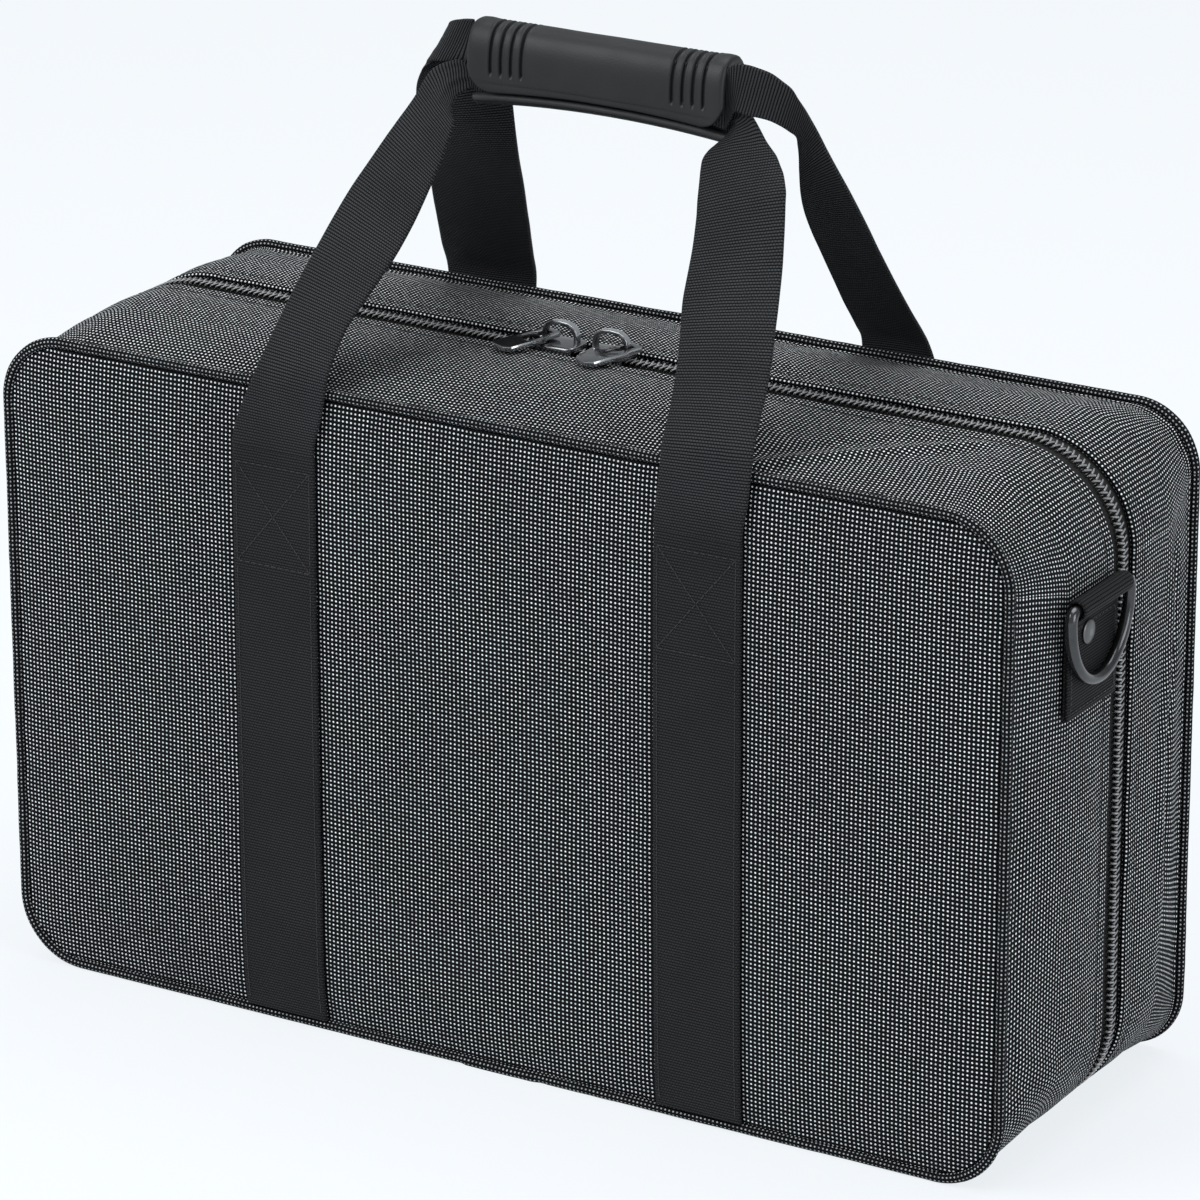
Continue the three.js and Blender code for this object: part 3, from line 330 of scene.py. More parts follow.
def add_mesh(name, points, faces, loops_uv=None):
    """An object from points in millimetres, an array of faces, and cloth places."""
    mesh = bpy.data.meshes.new(name)
    mesh.vertices.add(len(points))
    mesh.vertices.foreach_set("co", (np.asarray(points, float) * MM).ravel())
    mesh.loops.add(faces.size)
    mesh.loops.foreach_set("vertex_index", faces.ravel().astype(np.int32))
    mesh.polygons.add(len(faces))
    starts = np.arange(len(faces)) * faces.shape[1]
    mesh.polygons.foreach_set("loop_start", starts.astype(np.int32))
    mesh.update(calc_edges=True)
    if loops_uv is not None:
        layer = mesh.uv_layers.new(name="weave")
        layer.data.foreach_set("uv", np.asarray(loops_uv, float).ravel())
    mesh.polygons.foreach_set("use_smooth", np.full(len(faces), True))
    mesh.validate()
    mesh.update()
    return new_object(name, mesh)


def outward(points, quads):
    """Whether the quads of a closed body look out of it."""
    a, b, c, d = (points[quads[:, i]] for i in range(4))
    volume = np.einsum("ij,ij->i", a, np.cross(b, c)).sum()
    volume += np.einsum("ij,ij->i", a, np.cross(c, d)).sum()
    return volume >= 0


def grid(points, cloth=None, close_rows=False, caps=False):
    """Points, quads and cloth places of a grid of rows by columns, its columns closed.

    The cloth places have one more column, and one more row where the rows are closed, so that
    the weave doesn't run back over its seam. Caps join each end row across, first point to last.
    """
    rows, columns = points.shape[:2]
    i = np.arange(rows if close_rows else rows - 1)
    ii, jj = np.meshgrid(i, np.arange(columns), indexing="ij")
    ni, nj = (ii + 1) % rows, (jj + 1) % columns
    quads = np.stack([ii * columns + jj, ii * columns + nj, ni * columns + nj, ni * columns + jj], -1)
    quads = quads.reshape(-1, 4)
    if cloth is None:
        cloth = np.zeros((rows + close_rows, columns + 1, 2))
    places = np.stack([cloth[ii, jj], cloth[ii, jj + 1], cloth[ii + 1, jj + 1], cloth[ii + 1, jj]], -2)
    places = places.reshape(-1, 4, 2)
    if caps:
        k = np.arange(columns // 2 - 1)
        cap = np.stack([k, columns - 1 - k, columns - 2 - k, k + 1], -1)
        for row, turn in ((0, 1), (rows - 1, -1)):
            quads = np.concatenate([quads, (row * columns + cap)[:, ::turn]])
            places = np.concatenate([places, cloth[row, cap][:, ::turn]])
    flat = points.reshape(-1, 3)
    if not outward(flat, quads):
        quads, places = quads[:, ::-1], places[:, ::-1]
    return flat, quads, places


def grid_object(name, points, cloth=None, **how):
    flat, quads, places = grid(points, cloth, **how)
    return add_mesh(name, flat, quads, places.reshape(-1, 2))


def many(name, template, quads, origins, axes):
    """Copies of a small template, each at its origin with its own three axes."""
    count, size = len(origins), len(template)
    points = origins[:, None, :] + np.einsum("tk,nkc->ntc", template, axes)
    faces = (quads[None] + (np.arange(count) * size)[:, None, None]).reshape(-1, 4)
    # Each copy lies on a stretch of its own of the weave
    places = np.tile(template[:, :2], (count, 1)) + np.repeat(np.arange(count) * 7.3, size)[:, None]
    return add_mesh(name, points.reshape(-1, 3), faces, places[faces.ravel()])


def tube_template(path, radii, sides):
    """Points and quads of a closed tube along a short path, its ends drawn in."""
    path = np.asarray(path, float)
    ahead = unit(np.gradient(path, axis=0))
    side = np.cross(ahead, [0, 0, 1.0])
    side[np.linalg.norm(side, axis=1) < 1e-3] = [0, 1, 0]
    side = unit(side)
    up = np.cross(side, ahead)
    turn = round_angles(sides)
    ring = np.cos(turn)[None, :, None] * side[:, None] + np.sin(turn)[None, :, None] * up[:, None]
    points = path[:, None] + ring * np.asarray(radii, float)[:, None, None]
    return grid(points, caps=True)[:2]


# Rings round the case: steps along each long side, up each end and round each corner
RING_LONG, RING_TALL, RING_TURN = 210, 124, 30


def ring_shape(half_length, bottom, top, radius):
    """A rounded rectangle in x and z, counted from the right end's top corner."""
    middles = ((half_length - radius, top - radius), (radius - half_length, top - radius),
               (radius - half_length, bottom + radius), (half_length - radius, bottom + radius))
    points = []
    for quarter, (x, z) in enumerate(middles):
        angle = (quarter + np.arange(RING_TURN + 1) / RING_TURN) * math.pi / 2
        points.append(np.stack([x + radius * np.cos(angle), z + radius * np.sin(angle)], -1))
        nx, nz = middles[(quarter + 1) % 4]
        last = (quarter + 1) * math.pi / 2
        start = points[-1][-1]
        end = np.array([nx + radius * math.cos(last), nz + radius * math.sin(last)])
        count = RING_LONG if quarter % 2 == 0 else RING_TALL
        points.append(start + (end - start) * (np.arange(1, count) / count)[:, None])
    return np.concatenate(points)


def ring_normals():
    """The way out at each point of a ring, in x and z."""
    angles = []
    for quarter in range(4):
        angles.append((quarter + np.arange(RING_TURN + 1) / RING_TURN) * math.pi / 2)
        count = RING_LONG if quarter % 2 == 0 else RING_TALL
        angles.append(np.full(count - 1, (quarter + 1) * math.pi / 2))
    angles = np.concatenate(angles)
    return np.stack([np.cos(angles), np.sin(angles)], -1)


RING_NORMALS = ring_normals()


def ring_length(points):
    """Length run along a closed ring at each of its points, and at its first point again."""
    return lengths_along(np.concatenate([points, points[:1]]))


def standout(share):
    """How far a band stands out of the case at a share of its way from the seam to the zip."""
    return BULGE * smooth_table(BAND_SHARES, share)


def band_ring(half, share, under):
    out = float(standout(share)) - under
    radius = lerp(half.corner_r, ZIP_CORNER_R, min(1.0, share / ROUND_SHARE)) - under
    return ring_shape(LENGTH / 2 + out, under, TOP_Z + out, radius)


def crown_at(inset):
    return CROWN * smooth_table(CROWN_SHARES, np.asarray(inset, float) / (HEIGHT / 2))


def face_dents(half, x, z):
    """Slow unevenness of a padded face, and puckers beside its seam."""
    seed = 3 if half is BASE else 8
    slow = 0.42 * noise(x, 0, z, 74, seed) + 0.2 * noise(x, 0, z, 31, seed + 1)
    edge = np.minimum(np.minimum(LENGTH / 2 - np.abs(x), z - PIPING_R), TOP_Z - z)
    slow = slow * smoothstep(edge, 2, 22)
    pucker = 0.34 * noise(x, 0, z, 8.5, seed + 2) * bump(edge, 3.2, 5.5)
    return slow + pucker


def face_out(half, x, z):
    """How far out a padded face is at a place well inside its seam."""
    inset = np.maximum(np.minimum(z, PIPING_R + TOP_Z - z) - 2 * PIPING_R - GAP, 0)
    return FACE_Y + FACE_T + crown_at(inset) + face_dents(half, x, z)


# Materials
class Nodes:
    """A node tree with short words for the nodes that the materials share."""

    def __init__(self, name):
        self.material = bpy.data.materials.new(name)
        self.material.use_nodes = True
        self.tree = self.material.node_tree
        self.tree.nodes.clear()
        self.output = self.add("ShaderNodeOutputMaterial")
        self.shader = self.add("ShaderNodeBsdfPrincipled")
        self.join(self.shader.outputs["BSDF"], self.output.inputs["Surface"])

    def add(self, kind, **settings):
        node = self.tree.nodes.new(kind)
        for key, value in settings.items():
            setattr(node, key, value)
        return node

    def join(self, source, target):
        if hasattr(source, "is_linked"):
            self.tree.links.new(source, target)
        else:
            target.default_value = source

    def math(self, operation, a, b=0.0, c=0.0):
        node = self.add("ShaderNodeMath", operation=operation)
        for value, socket in zip((a, b, c), node.inputs):
            self.join(value, socket)
        return node.outputs[0]

    def times(self, a, b):
        return self.math("MULTIPLY", a, b)

    def plus(self, a, b):
        return self.math("ADD", a, b)

    def minus(self, a, b):
        return self.math("SUBTRACT", a, b)

    def ratio(self, a, b):
        return self.math("DIVIDE", a, b)

    def hypot(self, a, b):
        return self.math("SQRT", self.plus(self.times(a, a), self.times(b, b)))

    def ridge(self, value, rate):
        """Rounded ridges from 0 to 1, one for each half turn."""
        return self.math("ABSOLUTE", self.math("SINE", self.times(value, rate)))

    def step(self, value, low, high, to_low=0.0, to_high=1.0):
        node = self.add("ShaderNodeMapRange", interpolation_type="SMOOTHSTEP")
        for key, item in (("Value", value), ("From Min", low), ("From Max", high),
                          ("To Min", to_low), ("To Max", to_high)):
            self.join(item, node.inputs[key])
        return node.outputs["Result"]

    def mix(self, factor, a, b):
        node = self.add("ShaderNodeMix", data_type="RGBA")
        colours = [s for s in node.inputs if s.type == "RGBA"]
        self.join(factor, node.inputs[0])
        for value, socket in zip((a, b), colours):
            if not hasattr(value, "is_linked"):
                value = (*value, 1.0)
            self.join(value, socket)
        return [s for s in node.outputs if s.type == "RGBA"][0]

    def split(self, vector):
        node = self.add("ShaderNodeSeparateXYZ")
        self.join(vector, node.inputs[0])
        return node.outputs

    def places(self):
        """Across and along the cloth, in millimetres."""
        return self.split(self.add("ShaderNodeUVMap", uv_map="weave").outputs[0])[:2]

    def space(self):
        return self.add("ShaderNodeTexCoord").outputs["Object"]

    def cloud(self, vector, scale, detail=3.0, roughness=0.55):
        node = self.add("ShaderNodeTexNoise")
        self.join(vector, node.inputs["Vector"])
        node.inputs["Scale"].default_value = scale
        node.inputs["Detail"].default_value = detail
        node.inputs["Roughness"].default_value = roughness
        return node.outputs["Fac"]

    def waver(self, vector, scale, reach):
        """A slow shift to and fro."""
        return self.times(self.minus(self.cloud(vector, scale, 2), 0.5), reach)

    def cells(self, vector, scale, feature):
        node = self.add("ShaderNodeTexVoronoi", feature=feature)
        self.join(vector, node.inputs["Vector"])
        node.inputs["Scale"].default_value = scale
        return node.outputs["Distance"]

    def relief(self, height, distance, strength):
        """Raises the surface by a height, and gives the material."""
        node = self.add("ShaderNodeBump")
        node.inputs["Strength"].default_value = strength
        node.inputs["Distance"].default_value = distance
        self.join(height, node.inputs["Height"])
        self.join(node.outputs[0], self.shader.inputs["Normal"])
        return self.material

    def set(self, **values):
        for key, value in values.items():
            socket = self.shader.inputs[key.replace("_", " ")]
            if isinstance(value, tuple) and len(value) == 3:
                value = (*value, 1.0)
            self.join(value, socket)


def dimmed(colour, share):
    return tuple(c * share for c in colour)


def dotted_cloth(name, pitch=DOT_PITCH, bright=1.0, seed=0.0):
    """Near-black cloth with a pale dot at each crossing of its threads."""
    n = Nodes(name)
    u, v = n.places()
    space = n.space()
    u = n.plus(u, n.waver(space, 55, 0.7))
    v = n.plus(v, n.waver(space, 47, 0.7))
    column, row = n.ratio(u, pitch[0]), n.ratio(v, pitch[1])
    du = n.minus(n.math("FRACT", column), 0.5)
    dv = n.minus(n.math("FRACT", row), 0.5)
    dot = n.step(n.hypot(du, dv), 0.165, 0.268, 1.0, 0.0)
    cell = n.add("ShaderNodeCombineXYZ")
    for value, socket in zip((n.math("FLOOR", column), n.math("FLOOR", row), seed), cell.inputs):
        n.join(value, socket)
    luck = n.add("ShaderNodeTexWhiteNoise", noise_dimensions="3D")
    n.join(cell.outputs[0], luck.inputs["Vector"])
    worn = n.cloud(space, 9, 3)
    gain = n.times(n.step(luck.outputs["Value"], 0, 1, 0.66, 1.1), n.step(worn, 0.3, 0.7, 0.88, 1.08))
    pale = n.mix(n.times(gain, bright), (0.02, 0.021, 0.022), (0.8, 0.83, 0.85))
    # Fine threads: dark in line with the dots, a little paler between their columns
    threads = n.times(n.ridge(u, 3 * math.pi / pitch[0]), n.ridge(v, 3 * math.pi / pitch[1]))
    between = n.step(n.math("ABSOLUTE", du), 0.22, 0.42)
    ground = n.mix(between, (0.0006, 0.0007, 0.0009), (0.007, 0.0081, 0.0092))
    ground = n.mix(n.times(threads, 0.4), ground, (0.006, 0.0066, 0.0072))
    n.set(Base_Color=n.mix(dot, ground, pale), Sheen_Weight=0.01, Sheen_Roughness=0.4,
          Sheen_Tint=(0.9, 0.93, 1.0), Specular_IOR_Level=0.05, Roughness=n.step(threads, 0, 1, 0.85, 0.66))
    return n.relief(n.plus(dot, n.times(threads, 0.35)), 0.00022, 0.8)


def ribbed_webbing(name, light=1.0):
    """Tight webbing: ribs across it, finer yarns along it. Painted shade darkens the grooves between the ribs
    and a painted highlight lightens the rib tops, both stronger where it hangs free.
    """
    n = Nodes(name)
    u, v = n.places()
    space = n.space()
    free = n.step(n.split(space)[2], 0.236, 0.262)
    wave = n.waver(space, 160, 0.32)
    rib = n.step(n.ridge(n.plus(v, wave), math.pi / RIB_PITCH), 0.25, 0.95)
    line = n.math("FLOOR", n.ratio(n.plus(v, wave), RIB_PITCH))
    yarn = n.ridge(n.plus(n.ratio(u, 1.25), n.times(line, 0.5)), math.pi)
    height = n.times(rib, n.step(yarn, 0.0, 0.8, 0.3, 1.0))
    rubbed = n.cloud(space, 24, 4, 0.6)
    # Painted light: low is painted shade in the grooves between the ribs, high a painted highlight on the rib
    # tops, both deeper on the free legs
    low = n.mix(free, dimmed((0.004, 0.0042, 0.0046), light), dimmed((0.0006, 0.0007, 0.0009), light))
    high = n.mix(free, dimmed((0.026, 0.027, 0.0287), light), dimmed((0.042, 0.0448, 0.048), light))
    colour = n.mix(n.times(height, n.step(rubbed, 0.25, 0.75, 0.8, 1.15)), low, high)
    n.set(Base_Color=colour, Sheen_Weight=0.015, Sheen_Roughness=0.45, Sheen_Tint=(0.85, 0.9, 1.0),
          Specular_IOR_Level=0.12, Roughness=n.step(height, 0, 1, 0.82, 0.6))
    return n.relief(height, 0.00028, 0.9)


def tape_weave(name):
    """Thin woven tape with a fine herringbone."""
    n = Nodes(name)
    u, v = n.places()
    bone = n.ridge(n.plus(u, n.math("PINGPONG", v, 1.6)), math.pi / 0.8)
    rubbed = n.cloud(n.space(), 30, 3)
    n.set(Base_Color=n.mix(n.times(bone, n.step(rubbed, 0.2, 0.8, 0.7, 1.2)),
                           (0.003, 0.0031, 0.0034), (0.0095, 0.0098, 0.0104)),
          Sheen_Weight=0.05, Sheen_Roughness=0.5, Specular_IOR_Level=0.3,
          Roughness=n.step(bone, 0, 1, 0.85, 0.65))
    return n.relief(bone, 0.00018, 0.7)


def moulded_rubber(name):
    """Fine-grained rubber, a little polished where a hand holds it."""
    n = Nodes(name)
    space = n.space()
    grain = n.cells(space, 1900, "SMOOTH_F1")
    soft = n.cloud(space, 900, 3)
    held = n.cloud(space, 26, 3)
    pits = n.plus(n.times(grain, 0.7), n.times(soft, 0.5))
    n.set(Base_Color=n.mix(n.step(held, 0.3, 0.7), (0.0065, 0.0077, 0.0088), (0.0098, 0.0114, 0.0128)),
          Specular_IOR_Level=0.35, Roughness=n.step(held, 0.25, 0.75, 0.54, 0.46))
    return n.relief(pits, 0.00012, 0.55)


def dark_metal(name, colour=(0.066, 0.068, 0.072), rough=(0.13, 0.22), edge_wear_and_highlight_share=0.1):
    """Blackened plated metal with a faint brushed unevenness, and paler edges that are partly worn plating
    and partly a painted highlight.
    """
    n = Nodes(name)
    space = n.space()
    patch = n.cloud(space, 220, 4, 0.6)
    scuff = n.cloud(space, 1500, 2)
    # Convex edges painted pale: partly worn plating, partly a painted highlight along the edges
    worn = n.step(n.add("ShaderNodeNewGeometry").outputs["Pointiness"], 0.51, 0.58)
    base = n.mix(n.step(patch, 0.3, 0.7), dimmed(colour, 0.8), colour)
    n.set(Base_Color=n.mix(n.times(worn, edge_wear_and_highlight_share), base, (0.62, 0.64, 0.66)), Metallic=0.92,
          Roughness=n.step(n.plus(n.times(patch, 0.7), n.times(scuff, 0.3)), 0.3, 0.7, *rough))
    return n.relief(scuff, 0.00003, 0.4)


def nylon_coil(name):
    """Smooth nylon monofilament, with a painted highlight on the outer heads of its loops."""
    n = Nodes(name)
    space = n.space()
    patch = n.cloud(space, 500, 3)
    x, y, z = n.split(space)
    aside = n.math("ABSOLUTE", n.minus(y, ZIP_Y * MM))
    # How far out of the case a place on a loop lies, all the way round the rounded frame
    middle_z = ZIP_TOP_Z / 2
    over_x = n.minus(n.math("ABSOLUTE", x), (LENGTH / 2 + BULGE - ZIP_CORNER_R) * MM)
    over_z = n.minus(n.math("ABSOLUTE", n.minus(z, middle_z * MM)), (middle_z - ZIP_CORNER_R) * MM)
    reach = n.hypot(*(n.math("MAXIMUM", over, 0.0) for over in (over_x, over_z)))
    # The outer heads of the loops, near the zip's middle line, get a pale painted highlight
    proud = n.step(reach, (ZIP_CORNER_R - 0.45) * MM, (ZIP_CORNER_R - 0.1) * MM)
    head_highlight_mask = n.times(n.step(aside, 0.0022, 0.0032, 1.0, 0.3), proud)
    plain = n.mix(patch, (0.006, 0.0063, 0.0068), (0.014, 0.0145, 0.0155))
    n.set(Base_Color=n.mix(head_highlight_mask, plain, (0.18, 0.185, 0.192)), Specular_IOR_Level=0.95,
          Coat_Weight=0.4, Coat_Roughness=0.16, Roughness=n.step(patch, 0.3, 0.7, 0.2, 0.3))
    return n.relief(patch, 0.00004, 0.4)


def soft_plush(name, low=(0.0045, 0.0048, 0.006), high=(0.02, 0.021, 0.026)):
    """Short pile that lies this way and that."""
    n = Nodes(name)
    space = n.space()
    pile = n.cloud(space, 1400, 4, 0.7)
    brushed = n.cloud(space, 38, 3)
    n.set(Base_Color=n.mix(n.times(pile, n.step(brushed, 0.3, 0.7, 0.7, 1.3)), low, high),
          Sheen_Weight=0.7, Sheen_Roughness=0.35, Sheen_Tint=(0.5, 0.53, 0.62),
          Specular_IOR_Level=0.1, Roughness=n.step(brushed, 0.3, 0.7, 0.98, 0.86))
    return n.relief(pile, 0.0006, 0.7)


def open_foam(name):
    """Dark closed-cell foam, its cells cut open on the faces."""
    n = Nodes(name)
    space = n.space()
    cells = n.cells(space, 1100, "F1")
    patch = n.cloud(space, 40, 3)
    wall = n.step(cells, 0.1, 0.6)
    n.set(Base_Color=n.mix(n.times(wall, n.step(patch, 0.3, 0.7, 0.8, 1.15)),
                           (0.02, 0.021, 0.022), (0.075, 0.078, 0.082)),
          Specular_IOR_Level=0.2, Roughness=n.step(patch, 0.3, 0.7, 0.97, 0.88))
    return n.relief(wall, 0.0004, 0.7)


def sewing_thread(name, low=(0.006, 0.0064, 0.007), high=(0.018, 0.0192, 0.021)):
    """Twisted thread, its plies running round it."""
    n = Nodes(name)
    ply = n.ridge(n.plus(*n.places()), math.pi / 0.5)
    fuzz = n.cloud(n.space(), 900, 3)
    n.set(Base_Color=n.mix(n.times(ply, n.step(fuzz, 0.2, 0.8, 0.7, 1.2)), low, high),
          Sheen_Weight=0.2, Sheen_Roughness=0.4, Specular_IOR_Level=0.4,
          Roughness=n.step(fuzz, 0.3, 0.7, 0.6, 0.45))
    return n.relief(ply, 0.0001, 0.7)


CLOTH = dotted_cloth("cloth_dotted")
PIPING_CLOTH = dotted_cloth("cloth_piping", pitch=(1.8, 2 * math.pi * PIPING_R / 8),
                            bright=0.48, seed=5.0)
WEBBING = ribbed_webbing("webbing_ribbed")
TAB_WEBBING = ribbed_webbing("webbing_tab", light=0.62)
TAPE = tape_weave("tape_woven")
COIL = nylon_coil("nylon_filament")
RUBBER = moulded_rubber("rubber_grained")
METAL = dark_metal("metal_blackened")
# Pulls and sliders: strongly pale edges, partly wear and partly a painted highlight
PULL_METAL = dark_metal("metal_polished", (0.15, 0.154, 0.16), (0.1, 0.17), 0.75)
RIVET_METAL = dark_metal("metal_satin", (0.13, 0.134, 0.14), (0.3, 0.42))
PLUSH = soft_plush("plush_short")
LINING = soft_plush("lining_brushed", (0.006, 0.0063, 0.0072), (0.026, 0.027, 0.031))
FOAM = open_foam("foam_cut")
THREAD = sewing_thread("thread_dark")


def finish(piece, material, slot, body, *nodes):
    """Gives a piece its material and its body, and hides the solids it replaces. Its slot is not used."""
    piece.data.materials.clear()
    piece.data.materials.append(material)
    if body:
        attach(piece, body)
    if nodes:
        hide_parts(*nodes)
    return piece


# Padded faces, bands and corded seams
def face_panel(half):
    """Points, faces and cloth places of a crowned padded face inside its corded seam."""
    edge = PIPING_R + GAP
    last_inset = HEIGHT / 2 - edge - 2.2
    rings = []
    # The first rows roll over the edge, from the flat back to the front
    for inset, y in ((0.9, FACE_Y - FACE_T), (0.2, FACE_Y - FACE_T), (0.0, FACE_Y)):
        ring = ring_shape(LENGTH / 2 - edge - inset, PIPING_R + edge + inset, TOP_Z - edge - inset,
                          half.corner_r - edge - inset)
        rings.append(at_depth(ring, half.sign * y))
    for inset in [0.15, 0.6, 1.4, *np.arange(2.6, HEIGHT / 2 - edge - 3, 2.3), last_inset]:
        side = edge + inset
        least = half.corner_r / 3 * min(1, (last_inset - inset) / 40 + 0.12)
        radius = min(max(half.corner_r - edge - inset, least), HEIGHT / 2 - side - 0.5)
        ring = ring_shape(LENGTH / 2 - side, PIPING_R + side, TOP_Z - side, max(radius, 0.8))
        x, z = ring.T
        rise = FACE_T + crown_at(inset) * smoothstep(inset, -1.5, 2.5)
        y = FACE_Y + rise + face_dents(half, x, z)
        y = y - 0.45 * bump(np.abs(np.abs(x) - STRAP_X), WEBBING_W / 2, 2.6) * (z < SEWN_TOP_Z)
        rings.append(at_depth(ring, half.sign * y))
    points = np.stack(rings)
    places = points[:, :, ::2]
    places = np.concatenate([places, places[:, :1]], 1)
    flat, quads, loops = grid(points, places)
    # The middle and the back close with strips between the two long sides: each point faces
    # another across the long middle line, counted from the middle of the right end
    columns = points.shape[1]
    turned = (2 * (columns - RING_TALL // 2) - np.arange(columns)) % columns
    caps, spots, seen = [], [], set()
    for row in (0, len(points) - 1):
        for j in range(columns):
            k = (j + 1) % columns
            corners = (j, k, turned[k], turned[j])
            key = (row, frozenset(corners))
            if len(set(corners)) == 4 and key not in seen:
                seen.add(key)
                caps.append([row * columns + i for i in corners])
                spots.append([places[row, i] for i in corners])
    return flat, np.concatenate([quads, np.array(caps)]), np.concatenate([loops, np.array(spots)])


def make_panels():
    for half in HALVES:
        flat, quads, loops = face_panel(half)
        thing = add_mesh(f"{half.name}_face_cloth", flat, quads, loops.reshape(-1, 2))
        normals_out(thing)
        finish(thing, CLOTH, "body_cloth", half.body, f"{half.name}_panel")


def normals_out(thing):
    """Turns every face of a closed body outwards."""
    work = bmesh.new()
    work.from_mesh(thing.data)
    bmesh.ops.holes_fill(work, edges=[e for e in work.edges if e.is_boundary], sides=8)
    bmesh.ops.recalc_face_normals(work, faces=work.faces)
    work.to_mesh(thing.data)
    work.free()


def band_places(half):
    """Distances from the seam of the rows over a band, close together at its edges."""
    stop = half.stop
    return np.concatenate([
        [PIPING_R + GAP, 2.9, 3.6, 4.6, 5.8], np.arange(7.2, stop - HEM_W - 1, 1.9),
        np.linspace(stop - HEM_W - 0.6, stop - HEM_ROLL, 12)])


def band_unevenness(half, ring, away):
    """Way out of a band's cloth beyond its even form: slack, puckers and the hem's seam."""
    x, z = ring.T
    y = half.sign * (FACE_Y - away)
    seed = 20 if half is BASE else 31
    stop = half.stop
    middle = smoothstep(away, 4, 18) * smoothstep(stop - away, 7, 16)
    slow = 0.85 * noise(x, y, z, 62, seed) + 0.34 * noise(x, y, z, 24, seed + 1)
    turn = np.abs(RING_NORMALS[:, 0] * RING_NORMALS[:, 1]) * 2
    corner_seam = 0.5 * noise(x, y * 0.35, z, 7.5, seed + 2) * turn * bump(away, 5, 7)
    seam = 0.26 * noise(x, y * 0.4, z, 9, seed + 3) * bump(away, 4, 5)
    hem_line = -0.14 * bump(away, stop - HEM_W + HEM_SEAM, 0.9)
    hem_wave = 0.22 * noise(x, 0, z, 10, seed + 4) * bump(away, stop - 1, 4)
    out = slow * middle + corner_seam + seam + hem_line + hem_wave
    if half is LID:
        # Slack down the right end: a winding crease with a fold beside it
        on_end = smoothstep(RING_NORMALS[:, 0], 0.6, 0.98)
        fade = smoothstep(z, 30, 120) * (1 - smoothstep(z, 205, 238))
        lean, sway = 0.06 * (215 - z), 2.5 * np.sin(z / 17.0)
        out = out - 2.6 * on_end * fade * bump(away, 18 + lean + sway, 4.4)
        out = out + 1.7 * on_end * fade * bump(away, 26.5 + lean + sway, 4.6)
        out = np.maximum(out, -2.3)
    else:
        # Slack right of the front handle: the top lies straight, with a slanting fold over it
        on_top = smoothstep(RING_NORMALS[:, 1], 0.8, 1.0)
        along_top = smoothstep(x, 92, 118) * (1 - smoothstep(x, 172, 208))
        drift = (away - (12 + 0.8 * (x - 114))) / 1.28
        fold = 1.5 * bump(drift, 0, 4.2) - 0.9 * bump(drift, 9, 6)
        fold = fold * smoothstep(away, 2, 8) * smoothstep(stop - away, 5, 14)
        straight = BULGE * min(away / stop, 1.0) - standout(away / half.depth)
        out = np.maximum(out + on_top * along_top * (0.82 * straight + fold), -2.25)
        on_end = smoothstep(RING_NORMALS[:, 0], 0.3, 0.95)
        low = bump(z, 34, 20)
        out = out + 0.55 * on_end * low * np.sin((z * 0.55 + away * 0.45) / 2.6) * middle
    on_floor = RING_NORMALS[:, 1] < -0.5
    return np.where(on_floor, np.minimum(out, 0) * 0.4, out)


def make_bands():
    """Each band's outer cloth, the roll of its hem, and its inner side back to the seam."""
    for half in HALVES:
        stop, outer = half.stop, band_places(half)
        rows = [(away, 0.0) for away in outer]
        for angle in np.radians((22, 45, 68, 90)):
            rows.append((stop - HEM_ROLL + HEM_ROLL * math.sin(angle), HEM_ROLL * (1 - math.cos(angle))))
        for angle in np.radians((22, 45, 68, 90)):
            rows.append((stop - HEM_ROLL + HEM_ROLL * math.cos(angle), HEM_ROLL * (1 + math.sin(angle))))
        rows += [(stop - HEM_W, HEM_T), (stop - HEM_W - 0.4, CLOTH_T + 0.2)]
        rows += [(away, CLOTH_T) for away in outer[outer < stop - HEM_W - 1][::-1][::3]]
        points = []
        for away, under in rows:
            ring = band_ring(half, away / half.depth, under)
            ring = ring + RING_NORMALS * band_unevenness(half, ring, away)[:, None]
            ring[:, 1] = np.maximum(ring[:, 1], min(under, 0.02) + under)
            points.append(at_depth(ring, half.sign * (FACE_Y - away)))
        steps = [np.linalg.norm(b - a, axis=1).mean() for a, b in zip(points, points[1:])]
        down = np.concatenate([[0], np.cumsum(steps)])
        places = cloth_grid(ring_length(band_ring(half, 1.0, 0.0))[None], down[:, None])
        places = np.concatenate([places, places[:1]], 0)
        thing = grid_object(f"{half.name}_band_cloth", np.stack(points), places, close_rows=True)
        finish(thing, CLOTH, "body_cloth", half.body, f"{half.name}_gusset")


